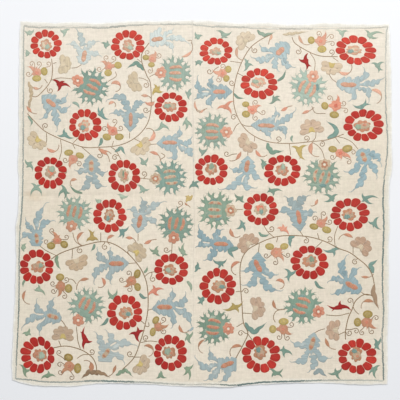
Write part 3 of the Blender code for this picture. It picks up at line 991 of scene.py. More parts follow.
Palmette = namedtuple("Palmette", "x y flower_x flower_y size fade teal warm")
GREEN_PALMETTES = [
    Palmette(91.2, 86.7, 77.8, 80.6, 1.0, 0.32, 0.5, 0.1),
    Palmette(174.7, 73.3, 161.0, 72.7, 0.97, 0.65, 0.5, 0.0),
    Palmette(169.6, 177.3, 155.6, 178.6, 0.97, 0.25, 0.6, 0.6),
    Palmette(307.8, 87.4, 312.9, 76.5, 1.03, 0.8, 0.4, 0.0),
    Palmette(212.8, 131.4, 226.4, 132.0, 1.0, 0.6, 0.45, 0.1),
    Palmette(321.8, 176.0, 324.4, 164.5, 1.03, 0.35, 0.35, 0.6),
    Palmette(74.4, 213.0, 71.5, 226.0, 0.95, 0.5, 0.3, 0.4),
    Palmette(176.0, 224.9, 173.7, 237.6, 1.0, 0.2, 0.45, 0.3),
    Palmette(86.7, 305.9, 78.2, 320.2, 1.0, 0.35, 0.3, 0.2),
    Palmette(216.0, 209.7, 230.7, 210.4, 1.03, 0.15, 0.3, 0.55),
    Palmette(214.7, 326.9, 228.3, 328.6, 1.0, 0.1, 0.35, 0.2),
    Palmette(302.7, 305.9, 318.4, 311.6, 1.03, 0.1, 0.35, 0.1),
]


def thorn(x0, y0, x1, y1, width, sway=0.0):
    """A short pointed tooth from one place to another."""
    dx, dy = x1 - x0, y1 - y0
    knee = (x0 + dx * 0.55 - dy * sway, y0 + dy * 0.55 + dx * sway)
    return leaf([(x0, y0), knee, (x1, y1)], width, 0.12, 0.95)


def stripe(x, y, points, width, angle, fade, warm, level, cores=2):
    """A narrow pale peach stripe, drawn in at both ends, with deeper cores."""
    c = smooth_line(points, 0.5)
    t = np.linspace(0, 1, len(c))
    way = np.gradient(c, axis=0)
    way /= np.maximum(np.linalg.norm(way, axis=1, keepdims=True), 1e-6)
    side = np.stack([-way[:, 1], way[:, 0]], -1)
    swell = 0.84 + 0.2 * np.abs(np.sin(math.pi * cores * t))
    taper = np.clip(1 - np.abs(2 * t - 1) ** 3.2, 0, 1) ** 0.6
    half = width / 2 * swell * taper
    strip = np.vstack([c + side * half[:, None], (c - side * half[:, None])[::-1]])
    low = float(np.clip((y - 140) / 80, 0, 1))
    tan = warm >= 0.5
    patch("silk_beige" if tan else "silk_peach", [turned(strip, angle, x, y)], along=angle + 90,
          tone=(0.25 + 0.4 * fade, 0.35) if tan else (0.6 + 0.35 * fade - 0.16 * low, min(1.0, 0.58 + 0.4 * warm + 0.12 * low)),
          level=level, puff=0.1)
    step = 1.0 / cores
    for k in range(cores):
        inside = (t > step * k + 0.1 * step + 0.04) & (t < step * (k + 1) - 0.1 * step - 0.04)
        if inside.sum() < 4:
            continue
        q = np.linspace(-1, 1, int(inside.sum()))
        h = np.maximum((half[inside] - 0.62) * np.clip(1 - np.abs(q) ** 3, 0, 1) ** 0.5, 0.12)
        core = np.vstack([c[inside] + side[inside] * h[:, None], (c[inside] - side[inside] * h[:, None])[::-1]])
        patch("silk_peach", [turned(core, angle, x, y)], along=angle + 90,
              tone=(0.22 - 0.12 * low + 0.7 * fade, min(1.0, warm + 0.15 + 0.15 * low)), level=level + 1, puff=0.08)


def green_palmette(p):
    """A round serrated palmette: leaflets drawn out into thin spines that
    close round linen eyelets, three peach stripes, a small flower at its foot."""
    rnd = chance(p.x, p.y, 3)
    foot = math.degrees(math.atan2(p.flower_y - p.y, p.flower_x - p.x))
    k = p.size
    shapes, eyelets = [lobed(p.x, p.y, 12.0 * k, 9, 0.03, foot)], []
    leaflets = 9
    gap = 280 / (leaflets - 1)
    for i in range(leaflets):
        heading = foot + 40 + i * gap + rnd.uniform(-3, 3)
        hand = 1 if rnd.uniform() > 0.5 else -1
        far = rnd.uniform(18.6, 21.0)
        parts = [thorn(11.5, 0.0, far, hand * rnd.uniform(0.8, 2.6), 3.3, 0.12 * hand)]
        for sign in (1, -1):
            side = rnd.uniform(4.9, 5.8) if rnd.uniform() > 0.25 else rnd.uniform(3.6, 4.4)
            parts.append(thorn(12.2, sign * 1.5, rnd.uniform(14.6, 16.6), sign * side, 1.9, -sign * 0.24))
            parts.append(thorn(12.4, sign * 1.2, rnd.uniform(16.8, 19.0), sign * rnd.uniform(3.0, 4.4), 1.9, -sign * 0.14))
        parts.append(np.array([(9.0, -4.0), (11.2, -3.0), (12.8, -2.2), (14.0, -1.9), (15.0, -0.9),
                               (15.0, 0.9), (14.0, 1.9), (12.8, 2.2), (11.2, 3.0), (9.0, 4.0)]))
        shapes += [turned(part * k, heading, p.x, p.y) for part in parts]
        if i < leaflets - 1:
            hole = (13.3 + rnd.uniform(-0.7, 0.6)) * k
            at = math.radians(heading + gap / 2)
            eyelets.append(oval(p.x + hole * math.cos(at), p.y + hole * math.sin(at),
                                (1.75 + rnd.uniform(-0.25, 0.35)) * k, (1.65 + rnd.uniform(-0.3, 0.25)) * k,
                                math.degrees(at), 14))
    eyelets.append(oval(p.flower_x, p.flower_y, 1.5, 1.5, points=12))
    patch("silk_green", shapes, eyelets, along=foot + 90 + rnd.uniform(-8, 8), tone=(p.fade, p.teal * rnd.uniform(0.7, 1.1)))
    # places worked with a paler or a bluer skein
    for n in range(3):
        at = math.radians(foot + 70 + 80 * n + rnd.uniform(-30, 30))
        x, y = p.x + 9.4 * math.cos(at), p.y + 9.4 * math.sin(at)
        patch("silk_green", [ragged_blob(x, y, 4.0, 2.0, 5, 0.25, rnd, math.degrees(at) + 90)], along=foot + 60 + 20 * n,
              tone=(float(np.clip(p.fade + rnd.uniform(-0.3, 0.5), 0, 1)), rnd.uniform(0.0, 1.0)), level=1, puff=0.06)
    for across, bow, long, wide in ((-5.2, -1.6, 13.4, 3.3), (0.0, 0.2, 13.0, 3.6), (5.2, 1.6, 13.4, 3.3)):
        back = -1.2 + rnd.uniform(-0.7, 0.7)
        lean = rnd.uniform(-0.5, 0.5)
        spine = [((back + long * q) * k, (across + lean * q * 2 + bow * (1 - (2 * q) ** 2) + rnd.uniform(-0.4, 0.4)) * k)
                 for q in (-0.5, -0.25, 0.0, 0.25, 0.5)]
        stripe(p.x, p.y, spine, wide * k, foot, p.fade, p.warm, 2, 2 if rnd.uniform() > 0.3 else 3)
    petals = lobed(p.flower_x, p.flower_y, 6.0 * k, 6 + int(rnd.uniform() > 0.6), 0.2, rnd.uniform(0, 60), rnd=rnd)
    low = float(np.clip((p.y - 140) / 80, 0, 1))
    tan = p.warm >= 0.5
    patch("silk_beige" if tan else "silk_peach", [petals], [oval(p.flower_x, p.flower_y, 1.3, 1.3, points=12)], along=foot,
          tone=(0.3 + 0.3 * p.fade, 0.3) if tan else (0.33 + 0.5 * p.fade, min(1.0, p.warm + 0.16 + 0.12 * low)), level=1, puff=0.18)
    ring = lobed(p.flower_x, p.flower_y, 3.6 * k, 6, 0.2, rnd.uniform(0, 60), rnd=rnd)
    patch("silk_peach", [ring], [oval(p.flower_x, p.flower_y, 1.5, 1.5, points=12)], along=foot + 60,
          tone=(0.1 + 0.5 * p.fade, min(1.0, p.warm + 0.3)), level=2, puff=0.08)


BluePalmette = namedtuple("BluePalmette", "key x y stem_x stem_y slot_angle slot_long slot_wide blunt broad fade grey warm")
BLUE_PALMETTES = [
    BluePalmette(1, 84.2, 56.2, 81.2, 64.4, 101, 12.0, 4.6, 0.3, 7.6, 0.95, 0.2, 0.0),
    BluePalmette(2, 157.2, 39.4, 149.7, 39.4, -8, 12.0, 4.4, 0.8, 8.2, 0.95, 0.1, 0.0),
    BluePalmette(3, 51.0, 103.0, 41.8, 95.6, 38, 12.0, 4.8, 0.0, 9.4, 0.3, 0.2, 0.2),
    BluePalmette(4, 130.7, 119.6, 130.0, 132.0, 91, 14.6, 3.9, 0.0, 8.0, 0.3, 0.2, 0.2),
    BluePalmette(5, 169.7, 142.8, 156.4, 143.6, 0, 15.2, 4.0, 0.0, 8.4, 0.3, 0.1, 0.1),
    BluePalmette(6, 91.6, 166.0, 90.4, 154.4, 90, 12.5, 5.0, 0.0, 8.6, 0.4, 0.6, 0.5),
    BluePalmette(7, 280.0, 51.2, 289.0, 43.8, -44, 10.5, 5.6, 0.2, 9.2, 0.35, 0.0, 0.0),
    BluePalmette(8, 219.3, 92.0, 232.6, 91.8, 0, 13.0, 4.5, 0.0, 8.0, 0.2, 0.0, 0.0),
    BluePalmette(9, 348.4, 84.6, 336.2, 83.0, 3, 16.4, 4.8, 0.2, 8.4, 0.45, 0.0, 0.2),
    BluePalmette(10, 266.2, 125.8, 250.6, 125.2, 3, 17.4, 4.2, 0.0, 7.4, 0.35, 0.0, 0.1),
    BluePalmette(11, 247.2, 166.2, 247.8, 155.8, 101, 12.6, 4.8, 0.0, 8.4, 0.25, 0.0, 0.4),
    BluePalmette(12, 363.4, 157.0, 358.6, 149.4, 68, 11.2, 5.2, 0.3, 8.0, 0.05, 0.0, 0.5),
    BluePalmette(13, 36.7, 238.4, 36.4, 246.2, 84, 11.2, 4.2, 0.62, 7.2, 0.2, 0.3, 0.3),
    BluePalmette(14, 139.6, 221.4, 137.4, 233.4, 101, 13.6, 4.8, 0.0, 8.2, 0.6, 0.4, 0.3),
    BluePalmette(15, 116.4, 263.6, 129.2, 263.2, 0, 15.4, 5.0, 0.0, 8.6, 0.45, 0.5, 0.1),
    BluePalmette(16, 164.6, 307.1, 151.8, 309.0, 1, 15.8, 5.0, 0.0, 8.6, 0.25, 0.4, 0.1),
    BluePalmette(17, 52.8, 316.6, 61.4, 320.2, 16, 12.6, 4.8, 0.2, 8.0, 0.25, 0.6, 0.3),
    BluePalmette(18, 105.9, 353.2, 105.4, 361.9, -54, 12.0, 4.8, 0.9, 7.6, 0.75, 0.5, 0.4),
    BluePalmette(19, 298.6, 217.2, 300.2, 231.6, 80, 14.6, 4.8, 0.0, 8.6, 0.2, 0.3, 0.1),
    BluePalmette(20, 221.0, 244.2, 233.8, 245.8, 2, 14.8, 4.4, 0.0, 8.4, 0.0, 0.1, 0.3),
    BluePalmette(21, 258.0, 265.8, 258.2, 251.8, 62, 14.4, 5.2, 0.0, 8.4, 0.05, 0.2, 0.1),
    BluePalmette(22, 351.6, 285.4, 361.0, 291.8, 28, 14.2, 5.2, 0.3, 8.2, 0.05, 0.2, 0.3),
    BluePalmette(23, 312.0, 343.4, 314.4, 332.2, 107, 14.8, 5.0, 0.0, 8.4, 0.35, 0.3, 0.5),
    BluePalmette(24, 227.3, 364.4, 236.6, 364.6, -22, 14.4, 4.8, 0.85, 8.0, 0.35, 0.2, 0.3),
]

# plumes of the blue palmettes: which palmette, three points of the spine,
# width, how many lobes each side has, and how grey it has turned
Plume = namedtuple("Plume", "key x1 y1 x2 y2 x3 y3 width lobes grey", defaults=(0,))
PLUMES = [
    Plume(1, 83.5, 46, 80.5, 37, 76.5, 28.5, 7, 2, 0.4), Plume(1, 81, 52, 75, 45, 66.5, 44, 7, 2),
    Plume(1, 86, 50, 91, 44, 99.5, 41, 6.5, 2), Plume(1, 87, 56, 93, 53.5, 102, 56.2, 7, 1),
    Plume(2, 165, 39.6, 178, 38.4, 190.5, 44, 6.5, 3), Plume(2, 163, 37, 169, 33, 174, 28.8, 7.5, 1),
    Plume(2, 163, 42, 170, 44.5, 173.6, 52.5, 7, 2), Plume(2, 155, 36, 158.5, 31, 165, 28.6, 6, 1),
    Plume(3, 54, 102, 62, 101, 68, 94.2, 6.5, 1), Plume(3, 53.5, 108, 56, 119, 57.6, 131, 8.5, 3),
    Plume(3, 47.5, 107, 47.5, 114, 40.6, 119.8, 5.5, 1), Plume(3, 55, 106, 62, 110, 71.2, 105.8, 6.5, 1),
    Plume(4, 128, 110, 121.5, 98, 106.5, 99.6, 8.2, 3), Plume(4, 133.5, 110, 138, 104, 146.5, 101.8, 7.5, 2),
    Plume(4, 126.5, 115.5, 119.5, 113, 109.8, 113.2, 7, 2), Plume(4, 134.5, 117.5, 140, 116, 146.8, 117.4, 6.5, 1),
    Plume(5, 173, 139, 178.5, 134, 180, 126.5, 6.5, 1), Plume(5, 178, 142.4, 186, 143.6, 193, 135.8, 7, 2),
    Plume(5, 178, 146, 187, 150, 194.4, 160.5, 9, 3), Plume(5, 172, 148, 175, 156, 168, 158.4, 7, 1),
    Plume(6, 89.5, 176, 86, 186, 77.5, 191.5, 7.5, 2, 0.7), Plume(6, 93.5, 175, 97.5, 184, 106, 187, 8, 2),
    Plume(6, 87.5, 168, 81, 171, 74.6, 170.4, 7, 1), Plume(6, 95, 168, 100.5, 173, 107.6, 171.6, 6.5, 1),
    Plume(7, 273, 55.5, 263, 59.5, 250.5, 57.4, 7.5, 3), Plume(7, 276, 56, 275, 64, 278.6, 71.8, 7.5, 2),
    Plume(7, 283, 56, 286, 64, 295, 68, 7.5, 2), Plume(7, 273, 50, 266, 50.6, 259, 45, 6.5, 1),
    Plume(8, 213, 88, 210.4, 84, 212.6, 76, 6.5, 1), Plume(8, 209, 91.4, 199.5, 88.5, 197, 76, 7, 3),
    Plume(8, 209, 93, 201.5, 95.6, 193.6, 100, 7, 2), Plume(8, 213, 96, 209.6, 101.5, 212, 108, 7, 1),
    Plume(9, 356, 81, 364.5, 77, 364, 67.4, 8.4, 2), Plume(9, 360, 84, 372, 83, 385.5, 77.4, 7, 3),
    Plume(9, 359, 87, 367, 91, 369.4, 102, 7.5, 2), Plume(9, 349, 90, 354.5, 95, 349.2, 101.6, 6.5, 1),
    Plume(10, 268, 122, 275.6, 116.5, 275.6, 107, 7.5, 2), Plume(10, 276, 124.5, 286, 118.6, 296.5, 109.6, 7.2, 3),
    Plume(10, 276, 127, 283.5, 129.6, 286, 138.2, 7, 2), Plume(10, 263, 129, 267.6, 133.4, 271.4, 138.6, 6, 1),
    Plume(11, 242.5, 167.5, 238, 170.4, 229.6, 168.4, 6.5, 1), Plume(11, 243, 174, 234.4, 184.6, 219.6, 190.4, 7.8, 3),
    Plume(11, 246.6, 174, 245.4, 185, 256.4, 188.6, 7.8, 2), Plume(11, 251, 170, 256, 176, 262.4, 180.4, 7.2, 1),
    Plume(12, 365.5, 152.6, 375.5, 156.6, 382, 165.6, 8.4, 3), Plume(12, 367, 161, 373.6, 168, 377.4, 178, 7.4, 2),
    Plume(12, 363, 167, 361.4, 180, 351, 192.6, 7.6, 3), Plume(12, 358.5, 164, 353, 171.4, 344.2, 172, 7, 1),
    Plume(13, 36.8, 232, 37.8, 220, 46, 202, 7.4, 3), Plume(13, 38.8, 231, 44.4, 223.6, 54.6, 220, 7.4, 2),
    Plume(13, 34.6, 231.5, 28.4, 225, 25.2, 218, 6, 2), Plume(13, 33.5, 238, 27, 234.4, 20.2, 240, 6.5, 1),
    Plume(14, 142.6, 215, 152.6, 207, 165.4, 200.6, 8.2, 3), Plume(14, 142, 212.5, 143.4, 205, 141.6, 197, 8.2, 2, 0.6),
    Plume(14, 144, 218.6, 151.8, 219.8, 157.4, 226.4, 8, 1), Plume(14, 136.5, 216.5, 134.4, 210.4, 127.2, 209, 6.6, 1),
    Plume(15, 113, 259.5, 110.6, 255.4, 110.2, 247.6, 7, 1), Plume(15, 107.5, 262, 100.6, 257, 96.8, 247.8, 8, 2),
    Plume(15, 107.5, 265.5, 97.4, 271.4, 93.4, 283.6, 8, 3), Plume(15, 113, 268.5, 110, 274.6, 110.6, 284, 7.4, 1),
    Plume(16, 168.5, 302.5, 171.4, 297.6, 172.8, 288, 7, 1), Plume(16, 174, 306, 182.4, 302, 186.4, 292.6, 8.4, 2),
    Plume(16, 174, 309, 185.6, 314, 192.6, 327.6, 8.4, 3), Plume(16, 169, 312, 173.4, 319, 172.2, 328, 7.6, 1),
    Plume(17, 51.8, 312.6, 50.6, 306.4, 54, 297.2, 7.4, 1), Plume(17, 46.5, 315, 38.4, 309.8, 36.2, 299, 7.4, 2),
    Plume(17, 46.5, 317.5, 34.5, 317.4, 21, 327.8, 7.8, 3), Plume(17, 47.5, 320.5, 41.4, 325, 39, 335, 6.6, 1),
    Plume(18, 102.8, 349, 100.2, 340.6, 95.4, 331.4, 7.8, 2), Plume(18, 107.4, 348.6, 111.4, 339.6, 106, 329.4, 8.2, 2),
    Plume(18, 110, 350.4, 120.4, 343.6, 137.4, 345, 8.6, 3), Plume(18, 110.5, 354, 118.4, 355.4, 125.2, 363, 7.4, 1),
    Plume(19, 296.5, 208.5, 291, 202, 284.8, 195.6, 9, 2, 0.9), Plume(19, 298.4, 208, 301.4, 200.4, 309.4, 194.8, 9, 2, 0.9),
    Plume(19, 304, 216, 308, 213.6, 316.2, 211.6, 8, 1), Plume(19, 293, 215.4, 287.4, 210.6, 276.8, 212.6, 8, 1),
    Plume(20, 217, 240, 216.4, 234.4, 223, 228.6, 7.4, 1), Plume(20, 211.5, 242, 203.4, 237.6, 197.8, 225, 8.2, 3),
    Plume(20, 211.5, 245, 203, 244.6, 194.4, 247.6, 7, 2), Plume(20, 214, 249.5, 211.6, 255.6, 204.4, 260.8, 8, 1),
    Plume(21, 252.5, 263, 248.4, 269.6, 240.6, 271.2, 6.6, 1), Plume(21, 255.6, 273, 252.6, 282.6, 242, 285.6, 8.2, 2),
    Plume(21, 263, 269, 269.6, 274, 278, 275, 7.6, 1), Plume(21, 261.6, 273.5, 267, 286, 281.6, 291.6, 8.4, 3),
    Plume(22, 347.4, 279, 342, 268.6, 346.4, 254.6, 8.6, 3), Plume(22, 352.4, 281, 352.6, 273.6, 360.2, 266.8, 8.2, 1),
    Plume(22, 344.5, 282.6, 336.6, 278.8, 327.4, 281.6, 7, 2), Plume(22, 346.4, 287.4, 340, 291.4, 331.4, 294.6, 7, 1),
    Plume(23, 306, 343.6, 300, 345, 290.6, 341.6, 7, 1), Plume(23, 308.5, 351, 303, 359.4, 290.6, 362.4, 8.4, 2),
    Plume(23, 312.5, 355, 313.8, 363.6, 308.6, 372.6, 7.8, 2, 0.5), Plume(23, 315.6, 351, 320.6, 357.4, 331.6, 358.2, 7.6, 1),
    Plume(24, 219, 364.6, 206, 367, 194.2, 357, 7.8, 3), Plume(24, 220.5, 361.5, 213, 358.6, 208.6, 347.6, 7.6, 2),
    Plume(24, 219.5, 368, 213.4, 375, 204.8, 381, 8, 2), Plume(24, 226.5, 368.5, 227, 376, 219.8, 382.2, 7, 1),
]


def toothed(phase, lean=0.68):
    """Lobes that rise slowly and drop at once, so that they lean one way."""
    p = np.mod(phase, 1.0)
    return np.where(p < lean, np.sin(math.pi / 2 * p / lean), np.cos(math.pi / 2 * (p - lean) / (1 - lean)))


def plume(spine, width, lobes, offset=0.0):
    """An acanthus-like arm: a full lobe with scalloped sides that runs out all
    at once into a thin tip with a hook."""
    (x1, y1), (x2, y2), (x3, y3) = spine
    bend = 1 if (x2 - x1) * (y3 - y2) - (y2 - y1) * (x3 - x2) > 0 else -1
    last = math.atan2(y3 - y2, x3 - x2)
    far = math.hypot(x3 - x2, y3 - y2)
    near = (x2 + 0.86 * (x3 - x2), y2 + 0.86 * (y3 - y2))
    turn = last + bend * math.radians(38)
    hook = (near[0] + 0.26 * far * math.cos(turn), near[1] + 0.26 * far * math.sin(turn))
    c = smooth_line([(x1, y1), (x2, y2), near, hook], 0.4)
    t = np.linspace(0, 1, len(c))
    way = np.gradient(c, axis=0)
    way /= np.maximum(np.linalg.norm(way, axis=1, keepdims=True), 1e-6)
    side = np.stack([-way[:, 1], way[:, 0]], -1)
    tip = 1.5 - 1.2 * t

    def edge(outer, shift):
        start, end = (0.56, 0.80) if outer else (0.48, 0.86)
        full = 0.5 * (1 + np.cos(math.pi * np.clip((t - start) / (end - start), 0, 1)))
        wave = toothed((lobes + 0.5) * t / 0.74 + shift)
        notch = 1 - 0.52 * (1 - wave) ** 1.25 * np.clip(t / 0.12, 0, 1)
        return np.maximum(width * (0.58 if outer else 0.48) * full * notch, tip)

    left = c + side * edge(bend < 0, 0.5 + offset)[:, None]
    right = c - side * edge(bend > 0, 0.15 + offset)[:, None]
    return np.vstack([left, right[::-1]])


def blue_palmette(p):
    """A kite-shaped blue palmette with scalloped sides, plumes that curl out
    of it with a slit between them, and a peach slot along its middle."""
    rnd = chance(p.x, p.y, 5)
    dx, dy = p.x - p.stem_x, p.y - p.stem_y
    reach = math.hypot(dx, dy)
    heading = math.degrees(math.atan2(dy, dx))
    a = math.radians(heading)
    long = reach + p.slot_long / 2 + 3.0
    t = np.linspace(0, 1, 48)
    wide = (1.0, 1.0, 0.95, 0.84, 0.6, 0.2)
    if p.blunt > 0.4:
        envelope = np.interp(t, (0, 0.01, 0.32, 0.45, 0.6, 0.76, 0.9, 1), (0.8 * p.blunt, p.blunt) + wide)
    else:
        envelope = np.interp(t, (0, 0.04, 0.36, 0.46, 0.6, 0.76, 0.9, 1), (0.04, 0.16 + p.blunt) + wide)

    def scallop(shift):
        wave = toothed((t - 0.06 - shift) / 0.27)
        return 1 - 0.36 * (1 - wave) ** 1.4 * np.clip((t - 0.08) / 0.16, 0, 1)

    up = p.broad * envelope * scallop(rnd.uniform(-0.04, 0.03)) * rnd.uniform(0.95, 1.06)
    down = p.broad * envelope * scallop(rnd.uniform(0.02, 0.09)) * rnd.uniform(0.95, 1.06)
    body = np.vstack([np.stack([t * long, up], -1), np.stack([t[::-1] * long, -down[::-1]], -1)])
    shapes = [turned(body, heading, p.stem_x, p.stem_y)]
    arms = [q for q in PLUMES if q.key == p.key]
    greyed = []
    for q in arms:
        spine = [(q.x1, q.y1), (q.x2, q.y2), (q.x3, q.y3)]
        arm = plume(spine, q.width, q.lobes, rnd.uniform(-0.1, 0.1))
        (greyed if q.grey else shapes).append(arm)
        if q.grey:
            patch("silk_blue", [arm], along=math.degrees(math.atan2(q.y3 - q.y1, q.x3 - q.x1)) + 60,
                  tone=(0.9 * p.fade, q.grey))
            continue
        # its root, back into the body
        along = (q.x1 - p.stem_x) * math.cos(a) + (q.y1 - p.stem_y) * math.sin(a) - 3.0
        along = min(max(along, reach * 0.8), long - 3.0)
        root = (p.stem_x + along * math.cos(a), p.stem_y + along * math.sin(a))
        shapes.append(leaf([root, ((root[0] + q.x1) / 2, (root[1] + q.y1) / 2),
                            (q.x1 + (q.x2 - q.x1) * 0.35, q.y1 + (q.y2 - q.y1) * 0.35)], q.width * 0.7, 0.3, 0.9))
    # thin slits of linen between neighbouring plumes
    end_x = p.x + (p.slot_long / 2 - 1.0) * math.cos(a)
    end_y = p.y + (p.slot_long / 2 - 1.0) * math.sin(a)
    ways = sorted((math.degrees(math.atan2((q.y1 + q.y2) / 2 - end_y, (q.x1 + q.x2) / 2 - end_x)) - heading + 540) % 360
                  for q in arms)
    slits = []
    for low, high in zip(ways, ways[1:]):
        if not 22 < high - low < 150:
            continue
        at = math.radians((low + high) / 2 + heading - 180 + rnd.uniform(-4, 4))
        inner = 4.0 + rnd.uniform(-0.4, 0.8)
        bend = rnd.uniform(-0.9, 0.9)
        pts = [(inner, 0.0, 0.25), (inner + 1.0, bend * 0.3, 0.72), (inner + 3.5, bend, 0.8), (10.5, 0.3 * bend, 0.75), (12.0, 0.0, 0.3)]
        ring = [(u, v + w) for u, v, w in pts] + [(u, v - w) for u, v, w in reversed(pts)]
        slits.append(turned(np.array(ring), math.degrees(at), end_x, end_y))
    patch("silk_blue", shapes, slits, along=heading + 90 + rnd.uniform(-12, 12),
          tone=(p.fade, p.grey * rnd.uniform(0.7, 1.1)))
    # places worked with a paler or a fresher skein
    for q in arms[::2]:
        if q.grey:
            continue
        x, y = q.x1 + (q.x2 - q.x1) * 0.6, q.y1 + (q.y2 - q.y1) * 0.6
        way = math.degrees(math.atan2(q.y2 - q.y1, q.x2 - q.x1))
        patch("silk_blue", [ragged_blob(x, y, 3.4, q.width * 0.24, 5, 0.2, rnd, way)], along=way + 60,
              tone=(float(np.clip(p.fade + rnd.choice((-0.15, 0.3)), 0, 1)), 0.4 * p.grey), level=1, puff=0.05)
    bow = rnd.uniform(-0.5, 0.5)
    half = p.slot_long / 2
    if p.y < 200:
        slot_fade = min(1.0, p.fade + 0.2)
    else:
        slot_fade = 0.1 * p.fade if p.x < 170 else 0.12 + 0.35 * p.fade
    stripe(p.x, p.y, [(-half, -bow * 0.5), (-half / 2, bow * 0.4), (0, bow), (half / 2, bow * 0.4), (half, -bow * 0.5)],
           p.slot_wide + 0.2, p.slot_angle, slot_fade, p.warm + (0.25 if p.x < 170 and p.y > 230 else 0.0), 1)


Fan = namedtuple("Fan", "x y facing reach spread lobes fade olive yellow", defaults=(0.25,))
FANS = [
    Fan(65.0, 65.0, 8, 9.0, 200, 6, 0.97, 0.5), Fan(134.0, 82.3, 160, 9.6, 190, 6, 0.70, 0.5),
    Fan(36.4, 141.6, 133, 10.0, 200, 6, 0.6, 0.5, 0.7), Fan(141.6, 146.7, 50, 11.0, 190, 6, 0.76, 0.4, 0.6),
    Fan(244.0, 39.5, 227, 10.0, 205, 6, 0.87, 0.1), Fan(331.4, 67.6, 98, 11.0, 190, 6, 0.64, 0.2, 0.8),
    Fan(311.0, 127.6, 262, 12.5, 195, 6, 0.40, 0.0, 0.9), Fan(246.6, 144.0, 135, 10.6, 205, 6, 0.32, 0.0),
    Fan(138.4, 251.0, 324, 10.4, 205, 6, 0.50, 0.5, 0.8), Fan(77.2, 263.0, 73, 11.2, 190, 6, 0.15, 0.4),
    Fan(63.0, 334.0, 272, 11.4, 200, 6, 0.18, 0.2, 0.9), Fan(142.2, 365.2, 32, 10.4, 195, 6, 0.41, 0.3, 0.8),
    Fan(247.2, 242.0, 230, 11.3, 205, 6, 0.20, 0.0), Fan(362.0, 245.3, 310, 11.6, 205, 6, 0.1, 0.0),
    Fan(257.4, 307.8, 350, 11.6, 195, 6, 0.27, 0.0), Fan(333.3, 330.0, 183, 10.6, 200, 6, 0.18, 0.0),
]


def fan(f):
    """Half a lobed flower, open on one side, with a paler yellow heart."""
    rnd = chance(f.x, f.y, 7)
    back_x = f.x - 2.2 * math.cos(math.radians(f.facing))
    back_y = f.y - 2.2 * math.sin(math.radians(f.facing))
    shapes = []
    for k in range(f.lobes):
        a = f.facing - f.spread / 2 + f.spread * k / (f.lobes - 1) + rnd.uniform(-4, 4)
        squeeze = 0.80 + 0.2 * abs(math.sin(math.radians(a - f.facing)))
        far = f.reach * 0.66 * squeeze * rnd.uniform(0.94, 1.06)
        x, y = back_x + far * math.cos(math.radians(a)), back_y + far * math.sin(math.radians(a))
        shapes.append(oval(x, y, 3.9 + rnd.uniform(-0.2, 0.5), 3.3 + rnd.uniform(-0.2, 0.3), a, 20))
        near = far * 0.5
        shapes.append(oval(back_x + near * math.cos(math.radians(a)), back_y + near * math.sin(math.radians(a)),
                           3.6, 2.9, a, 18))
    patch("silk_beige", shapes, along=f.facing + 80, tone=(f.fade, f.olive), puff=0.24)
    heart = [(-2.6, -3.2), (-0.4, -2.4), (1.9, -1.6), (2.4, 0.0), (1.9, 1.7), (-0.4, 2.6), (-2.6, 3.2), (-1.9, 0.0)]
    ring = smooth_line(heart + heart[:1], 0.5)[:-1]
    ring = ring * (1.15, 1.1)
    if f.yellow > 0.5:
        heart, tone = "silk_ochre", (0.97 - 0.12 * f.yellow, 0.45)
    else:
        heart, tone = "silk_beige", (min(1.0, 0.75 + 0.3 * f.fade), 0.35)
    patch(heart, [turned(ring, f.facing, back_x, back_y)], along=f.facing, tone=tone, level=1, puff=0.1)
    # a few seams where the lobes meet, worked a little darker
    for k in range(1, f.lobes, 2):
        a = math.radians(f.facing - f.spread / 2 + f.spread * (k - 0.5) / (f.lobes - 1) + rnd.uniform(-5, 5))
        near, far = f.reach * 0.32, f.reach * 0.74
        patch("silk_beige", [leaf([(back_x + near * math.cos(a), back_y + near * math.sin(a)),
                                   (back_x + (near + far) / 2 * math.cos(a + 0.08), back_y + (near + far) / 2 * math.sin(a + 0.08)),
                                   (back_x + far * math.cos(a), back_y + far * math.sin(a))], 1.5, 0.5, 0.4)],
              along=math.degrees(a) + 20, tone=(max(0.0, f.fade - 0.3), f.olive), level=1, puff=0.06)


